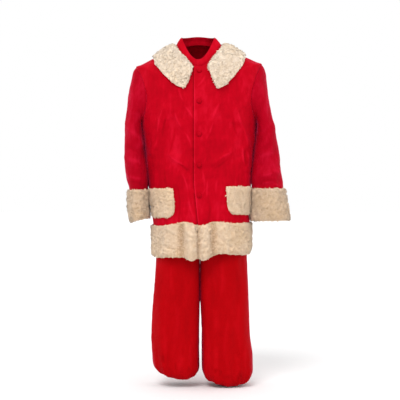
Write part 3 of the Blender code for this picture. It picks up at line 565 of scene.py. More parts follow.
# uneven cloth: broad and then fine waves, each with size, height and seed
WAVE_COUNT = 10
WAVE_SIZES = (0.6, 1.7)
WAVE_SUM = 3.2
JACKET_WAVES = ((62, 1.5, 5), (24, 0.5, 6))
SLEEVE_WAVES = ((58, 1.6, 60), (24, 0.5, 63))
TROUSER_WAVES = ((60, 1.8, 80), (26, 0.5, 81))
STAND_WAVE = (30, 0.5, 41)

# colours as light: velvet from painted shade in troughs and dark patches, through the cloth's own colour, to
# painted highlight on ridges and pale patches; pile from root to tip
COAT_COLOURS = ((0.20, 0.0, 0.002), (0.43, 0.0, 0.008), (0.78, 0.010, 0.042))
# the sleeves' velvet is a darker copy of the coat's: painted shade for the lower light on the arms
SHADED_SLEEVE_COLOURS = ((0.17, 0.0, 0.002), (0.355, 0.0, 0.009), (0.66, 0.010, 0.048))
TROUSER_COLOURS = ((0.18, 0.0, 0.001), (0.36, 0.0, 0.002), (0.56, 0.003, 0.010))
BUTTON_COLOURS = ((0.22, 0.0, 0.003), (0.38, 0.0, 0.006), (0.52, 0.004, 0.02))
TRIM_COLOURS = ((0.60, 0.40, 0.25), (0.80, 0.59, 0.41), (0.88, 0.70, 0.53))
# the cuffs' pile is a darker copy of the trim's: painted shade for the lower light on the arms
SHADED_CUFF_COLOURS = ((0.50, 0.32, 0.20), (0.66, 0.48, 0.33), (0.76, 0.59, 0.44))
COLLAR_COLOURS = ((0.64, 0.49, 0.36), (0.82, 0.67, 0.53), (0.92, 0.80, 0.67))
SHEEN_TINT = (1.0, 0.06, 0.2)
CLUMP_TINT = (0.93, 0.90, 0.84)
AGE_TINT = (0.98, 0.94, 0.85)

# painted light on creases: the crease height that counts as full, and how far it paints highlight on ridges
# and shade in troughs; then how far random patches and streaks change the tone
CREASE_LIGHT_HEIGHT = 1.5
CREASE_LIGHT_SHARE = 0.16
PATCH_SHARE = 0.08
STREAK_SHARE = 0.05

# painted highlight along the lap's edge and painted shadow on the cloth beside it, over this width
LAP_LINE = 3.5
LAP_SPREAD = 150.0
LAP_PAINTED_HIGHLIGHT = 0.2
LAP_PAINTED_SHADOW = 0.3


def smooth_curve(knots, values, at):
    """A cubic through the knots whose slopes are harmonic means, so it never overshoots."""
    knots = np.asarray(knots, float)
    values = np.asarray(values, float)
    step = np.diff(knots)
    rise = np.diff(values) / step
    slope = np.empty(len(knots))
    slope[0] = rise[0]
    slope[-1] = rise[-1]
    turning = rise[:-1] * rise[1:]
    total = rise[:-1] + rise[1:]
    slope[1:-1] = np.where(turning > 0, 2 * turning / np.where(total == 0, 1, total), 0)
    at = np.clip(np.asarray(at, float), knots[0], knots[-1])
    k = np.clip(np.searchsorted(knots, at, side="right") - 1, 0, len(step) - 1)
    t = (at - knots[k]) / step[k]
    start = (1 + 2 * t) * (1 - t) ** 2 * values[k] + t * (1 - t) ** 2 * step[k] * slope[k]
    finish = t * t * (3 - 2 * t) * values[k + 1] + t * t * (t - 1) * step[k] * slope[k + 1]
    return start + finish


def column(columns, rows, name, at):
    """Read one named column of a table at any value of its first column."""
    place = columns.index(name)
    return smooth_curve([row[0] for row in rows], [row[place] for row in rows], at)


def ease(value):
    """A smooth step from 0 to 1."""
    value = np.clip(value, 0, 1)
    return value * value * (3 - 2 * value)


def unit(vectors):
    """Vectors brought to a length of one."""
    return vectors / np.linalg.norm(vectors, axis=-1, keepdims=True)


def squarish(turn, half, deep, square):
    """Reach of a squarish ring: its shares of the half width and depth, to a power, add up to one."""
    across = np.abs(np.sin(turn)) / half
    along = np.abs(np.cos(turn)) / deep
    return (across ** square + along ** square) ** (-1 / square)


def read_between(grid, places, axis):
    """A grid at places between its rows, axis 0, or its lines, axis 1, mixed from its neighbours."""
    low = np.clip(np.floor(places).astype(int), 0, grid.shape[axis] - 2)
    share = np.expand_dims(places - low, (1, 2) if axis == 0 else (0, 2))
    return np.take(grid, low, axis) * (1 - share) + np.take(grid, low + 1, axis) * share


def on_line(points, line):
    """Seen from the front: the run of a line, the way from its top, and the share of it passed."""
    top = np.array((line["x_top"], line["z_top"]), float)
    run = np.array((line["x_foot"], line["z_foot"]), float) - top
    apart = points[..., (0, 2)] - top
    return run, apart, np.clip(apart @ run / (run @ run), 0, 1)


def fold_height(points, folds, side):
    """Height of the folds at each point: a rounded bank along each line, on one side only.

    Each bank is its height times e to the power of minus the squared distance in reaches.
    """
    height = np.zeros(points.shape[:-1])
    for row in folds:
        fold = dict(zip(LINE_COLUMNS, row))
        run, apart, along = on_line(points, fold)
        miss = np.linalg.norm(apart - along[..., None] * run, axis=-1)
        height += fold["height"] * np.exp(-((miss / fold["reach"]) ** 2))
    return height * ease(side * points[..., 1] / FOLD_FADE)


def crease_height(points, creases, side):
    """Height of fine creases: a soft ridge along a slightly bowed line that dies away at its ends.

    A ridge swells as a sine of the way along, and every second one bows to the other side.
    """
    height = np.zeros(points.shape[:-1])
    for number, row in enumerate(creases):
        crease = dict(zip(LINE_COLUMNS, row))
        run, apart, along = on_line(points, crease)
        aside = np.array((-run[1], run[0])) * CREASE_BOW * (1 if number % 2 else -1)
        line = along[..., None] * run + (along * (1 - along))[..., None] * aside
        miss = np.linalg.norm(apart - line, axis=-1)
        inside = CREASE_START + (1 - 2 * CREASE_START) * along
        taper = np.sin(math.pi * np.clip(inside, 0, 1)) ** CREASE_SWELL
        reach = crease["reach"] * (CREASE_END_WIDTH + (1 - CREASE_END_WIDTH) * taper)
        height += crease["height"] * taper * np.exp(-((miss / reach) ** 2))
    return height * ease(side * points[..., 1] / FOLD_FADE)


def body_point(turn, level):
    """The jacket's outside: a squarish ring at each level, tilted from side to front and back."""
    turn = np.mod(np.asarray(turn, float) + math.pi, FULL_TURN) - math.pi
    level = np.asarray(level, float)
    value = {name: column(BODY_COLUMNS, BODY_RINGS, name, level) for name in BODY_COLUMNS[1:]}
    to_left = np.sin(turn) >= 0
    to_front = np.cos(turn) >= 0
    half = np.where(to_left, value["left"], value["right"])
    deep = np.where(to_front, value["front"], value["back"])
    reach = squarish(turn, half, deep, BODY_SQUARE)
    z_side = np.where(to_left, value["z_left"], value["z_right"])
    z_end = np.where(to_front, value["z_front"], value["z_back"])
    z = z_side + (z_end - z_side) * np.cos(turn) ** 2
    return np.stack((reach * np.sin(turn), -reach * np.cos(turn), z), axis=-1)


def body_outward(turn, level):
    """Outward direction of the jacket's form: across the way down and the way round."""
    along = body_point(turn + SMALL_TURN, level) - body_point(turn - SMALL_TURN, level)
    down = body_point(turn, level + SMALL_LEVEL) - body_point(turn, np.maximum(level - SMALL_LEVEL, 0))
    return unit(np.cross(down, along))


def turn_at(x, level):
    """The turn on the front at which the body ring has this distance from centre."""
    turn = np.arctan2(x, REACH_GUESS) * np.ones_like(level)
    for _ in range(TURN_TRIES):
        reach = np.linalg.norm(body_point(turn, level)[..., :2], axis=-1)
        turn = np.arcsin(np.clip(x / reach, -1, 1))
    return turn


def lap_turn(level):
    """Turn of the lapped edge at each level."""
    z = body_point(np.zeros_like(level), level)[..., 2]
    x = np.interp(-z, [-row[0] for row in LAP_EDGE], [row[1] for row in LAP_EDGE])
    return turn_at(x, level)


def hem_levels(turn):
    """Levels of the top and bottom edges of the hem band at a turn."""
    degrees = np.degrees(np.mod(turn + math.pi, FULL_TURN) - math.pi)
    top = LEVEL_AT_ZERO - column(HEM_COLUMNS, HEM_LINE, "top", degrees)
    bottom = LEVEL_AT_ZERO - column(HEM_COLUMNS, HEM_LINE, "bottom", degrees)
    return top, bottom


def armhole_turn(level):
    """Half the turn that the armhole takes out of the side at a level."""
    middle = (SHOULDER_TIP + UNDERARM) / 2
    half = (UNDERARM - SHOULDER_TIP) / 2
    inside = np.clip(1 - ((level - middle) / half) ** 2, 0, 1)
    return ARMHOLE_TURN * np.sqrt(inside)


def underlap_push(turn, level):
    """How far the front below the lap goes in, so that the lap lies on it."""
    reach = np.linalg.norm(body_point(turn, level)[..., :2], axis=-1)
    x = reach * np.sin(turn)
    lap_x = reach * np.sin(lap_turn(level))
    return (VELVET_THICK + LAP_GAP) * ease((x - lap_x + UNDERLAP_START + UNDERLAP_EASE) / UNDERLAP_EASE)


def grid_outward(points, around, centre_pull=None):
    """Outward directions of a grid from its own neighbours."""
    if around:
        along = np.roll(points, -1, axis=1) - np.roll(points, 1, axis=1)
    else:
        along = np.gradient(points, axis=1)
    down = np.gradient(points, axis=0)
    normal = unit(np.cross(down, along))
    if centre_pull is None:
        centre_pull = points.mean(axis=1, keepdims=True)
    if np.mean(np.sum(normal * (points - centre_pull), axis=-1)) < 0:
        normal = -normal
    return normal


def stand_point(turn, rise):
    """The stand collar: from the neck edge up to its own smaller, tilted ring."""
    foot = body_point(turn, 0 * turn)
    lean = unit(body_point(turn, 0 * turn) - body_point(turn, 0 * turn + STAND_LEAN_OVER))
    foot = foot + lean * STAND_SEAT
    deep = np.where(np.cos(turn) >= 0, STAND_TOP["front"], STAND_TOP["back"])
    z_end = np.where(np.cos(turn) >= 0, STAND_TOP["z_front"], STAND_TOP["z_back"])
    reach = squarish(turn, STAND_TOP["half"], deep, 2)
    z = STAND_TOP["z_side"] + (z_end - STAND_TOP["z_side"]) * np.cos(turn) ** 2
    top = np.stack((STAND_SHIFT + reach * np.sin(turn), -reach * np.cos(turn), z), axis=-1)
    bow = np.stack((np.sin(turn), -np.cos(turn), 0 * turn), axis=-1) * STAND_BOW
    return foot + (top - foot) * rise[..., None] + bow * np.sin(np.pi * rise)[..., None]


def waves(points, size, seed):
    """Soft unevenness, mostly from -1 to 1: sine waves of seeded directions, about one size long."""
    rng = np.random.default_rng(seed)
    total = np.zeros(points.shape[:-1])
    for _ in range(WAVE_COUNT):
        way = rng.normal(size=3)
        way = way / np.linalg.norm(way) * FULL_TURN / (size * rng.uniform(*WAVE_SIZES))
        total += np.sin(points @ way + rng.uniform(0, FULL_TURN))
    return total / WAVE_SUM


def soft_lift(points, stretch, table, shift=0):
    """Unevenness of cloth in millimetres: broad waves on stretched places, and fine ones on them."""
    (broad, broad_high, broad_seed), (fine, fine_high, fine_seed) = table
    lift = broad_high * waves(points * np.array(stretch), broad, broad_seed + shift)
    return lift + fine_high * waves(points, fine, fine_seed)


def crowded(steps):
    """Even shares of a width with a few lines close to each edge, for a rolled seam edge."""
    near = np.array(EDGE_PLACES) / steps
    return np.sort(np.concatenate((np.arange(steps + 1) / steps, near, 1 - near)))


def run_along(points, axis):
    """Length of the way from the first row or line of a grid to each of its points."""
    steps = np.linalg.norm(np.diff(points, axis=axis), axis=2)
    return np.insert(np.cumsum(steps, axis=axis), 0, 0, axis=axis)


def edge_roll(points, around):
    """Depth of the turned-in edge: a bell curve, deepest at each open edge, gone soon after it."""
    down = run_along(points, 0)
    away = np.minimum(down, down[-1:] - down)
    if not around:
        across = run_along(points, 1)
        away = np.minimum(away, np.minimum(across, across[:, -1:] - across))
    return ROLL_DEEP * np.exp(-((away / ROLL_REACH) ** 2))


def add_mesh(name, points, faces, material, values, places=None):
    """A mesh from arrays of points and faces, with its material, a value and a place per point."""
    mesh = bpy.data.meshes.new(name)
    faces = np.asarray(faces, np.int32)
    corners = faces.shape[1]
    mesh.vertices.add(len(points))
    mesh.vertices.foreach_set("co", (np.asarray(points) * MILLIMETRE).astype(np.float32).ravel())
    mesh.loops.add(faces.size)
    mesh.loops.foreach_set("vertex_index", faces.ravel())
    mesh.polygons.add(len(faces))
    mesh.polygons.foreach_set("loop_start", np.arange(0, faces.size, corners, dtype=np.int32))
    mesh.polygons.foreach_set("use_smooth", np.ones(len(faces), bool))
    mesh.update(calc_edges=True)
    attribute = mesh.attributes.new("value", "FLOAT", "POINT")
    attribute.data.foreach_set("value", np.asarray(values, np.float32).ravel())
    if places is not None:
        layer = mesh.uv_layers.new(name="cloth")
        corner_places = (np.asarray(places) * MILLIMETRE)[faces.ravel()]
        layer.data.foreach_set("uv", corner_places.astype(np.float32).ravel())
    mesh.materials.append(material)
    thing = bpy.data.objects.new(name, mesh)
    bpy.context.scene.collection.objects.link(thing)
    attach(thing, "root")
    return thing


def grid_faces(rows, lines, around):
    """Corner numbers of the squares of a grid of points, whose last line meets the first on a tube."""
    r = np.arange(rows - 1)[:, None]
    c = np.arange(lines if around else lines - 1)[None, :]
    d = (c + 1) % lines
    corners = (r * lines + c, (r + 1) * lines + c, (r + 1) * lines + d, r * lines + d)
    return np.stack(corners, axis=-1).reshape(-1, 4)


def wall_faces(rows, lines, around):
    """Corner numbers of a closed wall: outside, inside and the rims of its open edges."""
    total = rows * lines
    out = grid_faces(rows, lines, around)
    parts = [out, out[:, ::-1] + total]
    c = np.arange(lines if around else lines - 1)
    d = (c + 1) % lines
    last = (rows - 1) * lines
    parts.append(np.stack((c, d, total + d, total + c), axis=-1))
    parts.append(np.stack((last + d, last + c, total + last + c, total + last + d), axis=-1))
    if not around:
        a = np.arange(rows - 1) * lines
        b = a + lines
        parts.append(np.stack((b, a, total + a, total + b), axis=-1))
        a, b = a + lines - 1, b + lines - 1
        parts.append(np.stack((a, b, total + b, total + a), axis=-1))
    return np.concatenate(parts)


def flat_places(points):
    """Run of the cloth along its rows and lines, as its own map in millimetres."""
    return np.stack((run_along(points, 1), run_along(points, 0)), axis=-1)


def crease_light_value(lift):
    """Painted light on the cloth: a painted highlight high on a crease's ridge and painted shade low in its
    trough, from the crease's height.
    """
    return 0.5 + CREASE_LIGHT_SHARE * np.tanh(lift / CREASE_LIGHT_HEIGHT)


def shell(name, outer, inner, around, material, value=None):
    """A thin closed wall of cloth between two grids of points."""
    rows, lines = outer.shape[:2]
    faces = wall_faces(rows, lines, around)
    down = outer[1:, :-1] - outer[:-1, :-1]
    along = outer[:-1, 1:] - outer[:-1, :-1]
    if np.sum(np.cross(down, along) * (outer - inner)[:-1, :-1]) < 0:
        faces = faces[:, ::-1]
    points = np.concatenate((outer.reshape(-1, 3), inner.reshape(-1, 3)))
    places = flat_places(outer).reshape(-1, 2)
    if value is None:
        value = np.full((rows, lines), 0.5)
    values = np.concatenate((value.ravel(), value.ravel()))
    return add_mesh(name, points, faces, material, values, np.concatenate((places, places)))


def replaced(thing, node):
    """The piece stands for its solid, which is hidden."""
    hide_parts(node)
    return thing


def nodes_of(name):
    """A new material's tree with its Principled shader."""
    material = bpy.data.materials.new(name)
    material.use_nodes = True
    tree = material.node_tree
    return material, tree, tree.nodes["Principled BSDF"]


def mixed(tree, kind, factor, first, second):
    """A colour mix of two colours by a factor socket."""
    mix = tree.nodes.new("ShaderNodeMix")
    mix.data_type = "RGBA"
    mix.blend_type = kind
    if isinstance(factor, float):
        mix.inputs[0].default_value = factor
    else:
        tree.links.new(factor, mix.inputs[0])
    for place, colour in ((6, first), (7, second)):
        if isinstance(colour, tuple):
            mix.inputs[place].default_value = (*colour, 1.0)
        else:
            tree.links.new(colour, mix.inputs[place])
    return mix.outputs[2]


def noise(tree, scale, detail, rough=0.5, stretch=(1, 1, 1)):
    """Noise in object coordinates, stretched along the axes."""
    where = tree.nodes.new("ShaderNodeTexCoord")
    mapping = tree.nodes.new("ShaderNodeMapping")
    mapping.inputs["Scale"].default_value = stretch
    made = tree.nodes.new("ShaderNodeTexNoise")
    made.inputs["Scale"].default_value = scale
    made.inputs["Detail"].default_value = detail
    made.inputs["Roughness"].default_value = rough
    tree.links.new(where.outputs["Object"], mapping.inputs["Vector"])
    tree.links.new(mapping.outputs["Vector"], made.inputs["Vector"])
    return made.outputs["Fac"]


def ramped(tree, socket, low, high):
    """A socket brought from a low and high value to 0 and 1."""
    spread = tree.nodes.new("ShaderNodeMapRange")
    spread.inputs["From Min"].default_value = low
    spread.inputs["From Max"].default_value = high
    tree.links.new(socket, spread.inputs["Value"])
    return spread.outputs["Result"]


def held_value(tree):
    """The value that each point of the mesh carries."""
    held = tree.nodes.new("ShaderNodeAttribute")
    held.attribute_name = "value"
    return held


def three_colours(tree, socket, stops):
    """A ramp through three colours, each with its place: low end, middle and high end."""
    ramp = tree.nodes.new("ShaderNodeValToRGB")
    low, middle, high = stops
    elements = ramp.color_ramp.elements
    for element, (place, colour) in ((elements[0], low), (elements[1], high)):
        element.position = place
        element.color = (*colour, 1)
    elements.new(middle[0]).color = (*middle[1], 1)
    tree.links.new(socket, ramp.inputs["Fac"])
    return ramp.outputs["Color"]


def bumped(tree, height, strength, distance, under=None):
    """A normal bumped by a height, on top of another bump if one is given."""
    bump = tree.nodes.new("ShaderNodeBump")
    bump.inputs["Strength"].default_value = strength
    bump.inputs["Distance"].default_value = distance
    tree.links.new(height, bump.inputs["Height"])
    if under is not None:
        tree.links.new(under, bump.inputs["Normal"])
    return bump.outputs["Normal"]


def velvet(name, deep, mid, bright, sheen=0.5, uneven=1.0):
    """Velvet: painted highlight on crease ridges and painted shade in their troughs, soft patches of tone,
    and a fine bump.
    """
    material, tree, shader = nodes_of(name)
    patches = ramped(tree, noise(tree, scale=9, detail=3, stretch=(1, 1, 0.5)), 0.34, 0.68)
    streaks = ramped(tree, noise(tree, scale=70, detail=4, rough=0.6, stretch=(1, 1, 0.35)), 0.36, 0.66)
    soft = mixed(tree, "MIX", patches, *((0.5 + way * PATCH_SHARE * uneven,) * 3 for way in (-1, 1)))
    fine = mixed(tree, "MIX", streaks, *((0.5 + way * STREAK_SHARE * uneven,) * 3 for way in (-1, 1)))
    shade = mixed(tree, "OVERLAY", 1.0, soft, fine)
    # the value each point carries paints highlight on crease ridges and the lap's edge, and shade in troughs
    # and beside the lap
    shade = mixed(tree, "OVERLAY", 1.0, shade, held_value(tree).outputs["Color"])
    # the ramp's low end takes painted shade and dark patches, its high end painted highlight and pale
    # patches
    colour = three_colours(tree, shade, ((0.12, deep), (0.5, mid), (0.92, bright)))
    tree.links.new(colour, shader.inputs["Base Color"])
    shader.inputs["Roughness"].default_value = 0.7
    shader.inputs["Specular IOR Level"].default_value = 0.03
    shader.inputs["Sheen Weight"].default_value = sheen
    shader.inputs["Sheen Roughness"].default_value = 0.3
    shader.inputs["Sheen Tint"].default_value = (*SHEEN_TINT, 1.0)
    nap = bumped(tree, noise(tree, scale=900, detail=3, rough=0.7), 0.3, MILLIMETRE)
    crushed = bumped(tree, noise(tree, scale=42, detail=3, rough=0.6), 0.35, 4 * MILLIMETRE, nap)
    tree.links.new(crushed, shader.inputs["Normal"])
    return material


def pile_material(name, root, mid, tip):
    """Curly pile: tan at the roots, cream at the tips, with paler and yellower clumps; the value that picks
    the colour also carries painted shade and highlight from folds.
    """
    material, tree, shader = nodes_of(name)
    grown = three_colours(tree, held_value(tree).outputs["Fac"], ((0.0, root), (0.45, mid), (1.0, tip)))
    clump = ramped(tree, noise(tree, scale=70, detail=3, rough=0.6), 0.35, 0.68)
    tinted = mixed(tree, "MIX", clump, (1.0, 1.0, 1.0), CLUMP_TINT)
    stained = ramped(tree, noise(tree, scale=9, detail=3), 0.4, 0.75)
    aged = mixed(tree, "MIX", stained, (1.0, 1.0, 1.0), AGE_TINT)
    colour = mixed(tree, "MULTIPLY", 1.0, grown, tinted)
    colour = mixed(tree, "MULTIPLY", 1.0, colour, aged)
    tree.links.new(colour, shader.inputs["Base Color"])
    shader.inputs["Roughness"].default_value = 0.95
    shader.inputs["Specular IOR Level"].default_value = 0.1
    shader.inputs["Sheen Weight"].default_value = 0.25
    shader.inputs["Sheen Roughness"].default_value = 0.6
    curls = bumped(tree, noise(tree, scale=420, detail=4, rough=0.7), 0.5, 2 * MILLIMETRE)
    tree.links.new(curls, shader.inputs["Normal"])
    return material


def jacket_creases(base):
    """Height of the fine creases of the jacket at points of its form."""
    return crease_height(base, FRONT_CREASES, -1) + crease_height(base, BACK_CREASES, 1)


def jacket_surface(turn, level, out=0.0):
    """The jacket's outside with folds and creases, moved out by a distance, and its outward way."""
    base = body_point(turn, level)
    lift = fold_height(base, JACKET_FOLDS, -1) + fold_height(base, BACK_FOLDS, 1) + jacket_creases(base)
    quiet = ease((level - QUIET_FROM) / QUIET_OVER)
    lift = lift + quiet * soft_lift(base, (1, 1, 0.5), JACKET_WAVES)
    outward = body_outward(turn, level)
    return base + outward * (lift + out)[..., None], outward


def jacket_rows():
    """Rows of the jacket: levels to the underarm, then shares of the way to the band and the hem."""
    middle = (SHOULDER_TIP + UNDERARM) / 2
    half = (UNDERARM - SHOULDER_TIP) / 2
    sweep = np.cos(np.pi * np.arange(ARMHOLE_STEPS + 1) / ARMHOLE_STEPS)
    top = crowded(SHOULDER_STEPS)[:-1] * SHOULDER_TIP
    fixed = np.concatenate((top, middle - half * sweep))
    return fixed, np.arange(1, SKIRT_STEPS + 1) / SKIRT_STEPS, np.arange(1, BAND_STEPS + 1) / BAND_STEPS


def jacket_grid(stops, shares, bare):
    """Turns and levels of a panel, each row running between the stops at its level."""
    fixed, skirt, band = jacket_rows()
    ends = np.cumsum([0] + [len(share) for share in shares])

    def row_of(level):
        parts = []
        for k, share in enumerate(shares):
            here = level[..., ends[k]:ends[k + 1]]
            first = stops[k](here)
            parts.append(first + (stops[k + 1](here) - first) * share)
        return np.concatenate(parts, axis=-1)

    upper = np.repeat(fixed[:, None], ends[-1], axis=1)
    level = np.full((len(skirt) + len(band), ends[-1]), LEVEL_GUESS)
    for _ in range(HEM_TRIES):
        top, bottom = hem_levels(row_of(level))
        down = len(skirt)
        level[:down] = UNDERARM + (top[:down] - UNDERARM) * skirt[:, None]
        level[down:] = top[down:] + (bottom[down:] - bare - top[down:]) * band[:, None]
    levels = np.concatenate((upper, level))
    return row_of(levels), levels


def jacket_panels():
    """The two fronts and the back as velvet walls; their grids are kept for what is sewn on them."""
    seam = SEAM_GAP / SEAM_REACH

    def side(level):
        return QUARTER - armhole_turn(level) - seam

    def right_lap(level):
        return lap_turn(level) - LAP_TURN_GAP

    def right_finish(level):
        return lap_turn(level) + (side(level) - lap_turn(level)) * UNDERLAP_SHARE

    under = np.arange(1, UNDERLAP_STEPS + 1) / UNDERLAP_STEPS
    plans = {
        "jacket_front_left": ((lap_turn, side), (crowded(FRONT_STEPS),)),
        "jacket_front_right": ((lambda level: -side(level), right_lap, right_finish),
                               (crowded(FRONT_STEPS), under)),
        "jacket_back": ((lambda level: 2 * QUARTER - side(level), lambda level: 2 * QUARTER + side(level)),
                        (crowded(BACK_STEPS),)),
    }
    panels = {}
    for name, (stops, shares) in plans.items():
        turns, levels = jacket_grid(stops, shares, BAND_LEFT_BARE)
        surface, outward = jacket_surface(turns, levels)
        if name == "jacket_front_right":
            surface = surface - outward * underlap_push(turns, levels)[..., None]
        outer = surface - outward * edge_roll(surface, False)[..., None]
        inner = surface - outward * CLOTH
        # painted highlight on crease ridges and painted shade in their troughs
        value = crease_light_value(jacket_creases(body_point(turns, levels)))
        # painted highlight along the left front's lapped edge, and the lap's painted shadow on the right
        # front
        beside = (turns - lap_turn(levels)) * LAP_SPREAD / LAP_LINE
        if name == "jacket_front_left":
            value = value + LAP_PAINTED_HIGHLIGHT * np.exp(-(beside ** 2))
        if name == "jacket_front_right":
            value = value - LAP_PAINTED_SHADOW * np.exp(-((beside / 2) ** 2))
        look = velvet(name + "_look", *COAT_COLOURS)
        thing = replaced(shell(name + "_cloth", outer, inner, False, look, value), name)
        panels[name] = {"turns": turns, "levels": levels, "outer": surface, "outward": outward,
                        "thing": thing}
    return panels


def rounded_edges(shares_a, shares_b, edge=0.35, bend_a=0.12, bend_b=0.12):
    """Thickness share of a pile piece: full inside and rounded down towards its edges."""
    fall_a = np.minimum(shares_a, 1 - shares_a) / bend_a
    fall_b = np.minimum(shares_b, 1 - shares_b) / bend_b
    arc_a = np.sqrt(1 - (1 - np.clip(fall_a, 0, 1)) ** 2)
    arc_b = np.sqrt(1 - (1 - np.clip(fall_b, 0, 1)) ** 2)
    return edge + (1 - edge) * arc_a[:, None] * arc_b[None, :]


def locks(name, surface, normal, around, material, seed, shade):
    """Curled tufts standing on a grid: each a bent cone of three rings and a tip.

    A tuft leans by its clump's waves, its own draw and its weight, and curls with the square
    of its height. It is lit mostly by the way that the surface under it faces.
    """
    rng = np.random.default_rng(seed)
    rows, lines = surface.shape[:2]
    wide = np.concatenate((surface, surface[:, :1]), axis=1) if around else surface
    high = np.concatenate((normal, normal[:, :1]), axis=1) if around else normal
    across = wide[:-1, 1:] - wide[:-1, :-1]
    down = wide[1:, :-1] - wide[:-1, :-1]
    area = np.linalg.norm(np.cross(across, down), axis=-1)
    count = int(area.sum() * MILLIMETRE * MILLIMETRE * LOCKS_A_METRE)
    cell = np.searchsorted(np.cumsum(area.ravel()), rng.uniform(0, area.sum(), count))
    cell = np.minimum(cell, area.size - 1)
    row, line = cell // area.shape[1], cell % area.shape[1]
    part_down, part_along = rng.uniform(size=(2, count, 1))

    def mix(grid):
        upper = grid[row, line] * (1 - part_along) + grid[row, line + 1] * part_along
        lower = grid[row + 1, line] * (1 - part_along) + grid[row + 1, line + 1] * part_along
        return upper * (1 - part_down) + lower * part_down

    foot = mix(wide)
    out = unit(mix(high))
    lean = np.stack([waves(foot, CLUMP_WIDE, seed * 7 + k) for k in range(3)], axis=-1) * LEAN_CLUMP
    lean = lean + rng.normal(size=(count, 3)) * LEAN_OWN + np.array((0, 0, LEAN_DOWN))
    lean = lean - out * np.sum(lean * out, axis=1, keepdims=True)
    twist = np.cross(out, lean) * rng.choice((-1.0, 1.0), size=(count, 1))
    clumped = TALL_SHARE + TALL_SWING * waves(foot, CLUMP_WIDE * TALL_CLUMPS, seed + 3)
    tall = LOCK_LONG * rng.uniform(*LONG_RANGE, (count, 1)) * clumped[:, None]
    spin = rng.uniform(0, FULL_TURN, (count, 1))
    side = unit(np.cross(out, np.array(CROSSWAY)))
    other = np.cross(out, side)
    rings = []
    for height, width, _ in LOCK_RINGS:
        bend = lean * height * abs(height) * LEAN_BEND + twist * height ** 2 * TWIST_BEND
        middle = foot + tall * (out * height + bend)
        for k in range(LOCK_SIDES):
            way = spin + k * FULL_TURN / LOCK_SIDES + height
            rings.append(middle + LOCK_WIDE * width * (side * np.cos(way) + other * np.sin(way)))
    curl = CURL * tall * (lean * LEAN_BEND + twist * CURL_TWIST)
    rings.append(foot + tall * out * LOCK_TIP[0] + curl)
    points = np.stack(rings, axis=1)
    tip = len(rings) - 1
    top = tip - LOCK_SIDES
    plan = []
    for square in grid_faces(len(LOCK_RINGS), LOCK_SIDES, True):
        plan += [square[[0, 3, 2]], square[[0, 2, 1]]]
    plan += [(top + k, top + (k + 1) % LOCK_SIDES, tip) for k in range(LOCK_SIDES)] + [(0, 2, 1)]
    faces = (np.array(plan)[None] + len(rings) * np.arange(count)[:, None, None]).reshape(-1, 3)
    rise = np.append(np.repeat([ring[2] for ring in LOCK_RINGS], LOCK_SIDES), LOCK_TIP[1])
    # the tufts take the painted fold shade and highlight of the body under them
    joined = np.concatenate((shade, shade[:, :1]), axis=1) if around else shade
    value = np.clip(rise[None, :] * rng.uniform(*PALE_RANGE, (count, 1)) + mix(joined[..., None]), 0, 1)
    thing = add_mesh(name, points.reshape(-1, 3), faces, material, value)
    middle = points.mean(axis=1, keepdims=True)
    soft = unit(unit(points - middle) * TUFT_OWN_WAY + out[:, None, :])
    thing.data.normals_split_custom_set_from_vertices(soft.reshape(-1, 3))
    return thing


def pile_piece(node, base, outward, profile, around, thick, colours, seed, fold=0.0):
    """A pile trim on its form: a clumped body and the tufts that stand on it, with painted shade in its fold
    valleys and painted highlight on its ridges.
    """
    clump = 0.5 + 0.5 * waves(base, CLUMP_WIDE, seed)
    shade = np.tanh(fold / FOLD_FULL + 0 * base[..., 0])
    profile = profile * (1 + FOLD_SWELL * shade)
    # painted shade in the fold valleys and painted highlight on the ridges
    shade = np.where(shade < 0, FOLD_PAINTED_SHADE, FOLD_PAINTED_HIGHLIGHT) * shade
    body = base + outward * (thick * profile * (BODY_LOW + BODY_CLUMP * clump))[..., None]
    material = pile_material(node + "_look", *colours)
    value = VALUE_LOW + VALUE_CLUMP * clump + shade
    thing = replaced(shell(node + "_body", body, base, around, material, value), node)
    normal = grid_outward(body, around, base)
    tufts = locks(node + "_tufts", body, normal, around, material, seed, shade)
    return thing, tufts


def hem_bands(panels):
    """The deep pile band round the hem, cut at the lap and at the side seams."""
    made = {}
    for number, part in enumerate(("front_left", "front_right", "back")):
        panel = panels["jacket_" + part]
        lines = len(crowded(FRONT_STEPS)) if part == "front_right" else panel["turns"].shape[1]
        first = len(panel["turns"]) - BAND_STEPS - 1
        base = panel["outer"][first:, :lines].copy()
        out = panel["outward"][first:, :lines]
        base[-1] += unit(base[-1] - base[-2]) * BAND_LEFT_BARE
        steps = BACK_STEPS if part == "back" else FRONT_STEPS
        down = np.arange(BAND_STEPS + 1) / BAND_STEPS
        profile = rounded_edges(down, crowded(steps), bend_a=0.1, bend_b=0.3 / steps)
        bare = body_point(panel["turns"][first:, :lines], panel["levels"][first:, :lines])
        # the folds under the band swell it and paint shade in its valleys and highlight on its ridges
        fold = fold_height(bare, JACKET_FOLDS, -1) + fold_height(bare, BACK_FOLDS, 1)
        made[part] = pile_piece("hem_fur_" + part, base + out * PILE_SEAT, out, profile, False, PILE_THICK,
                                TRIM_COLOURS, HEM_SEED + number, fold)
    return made


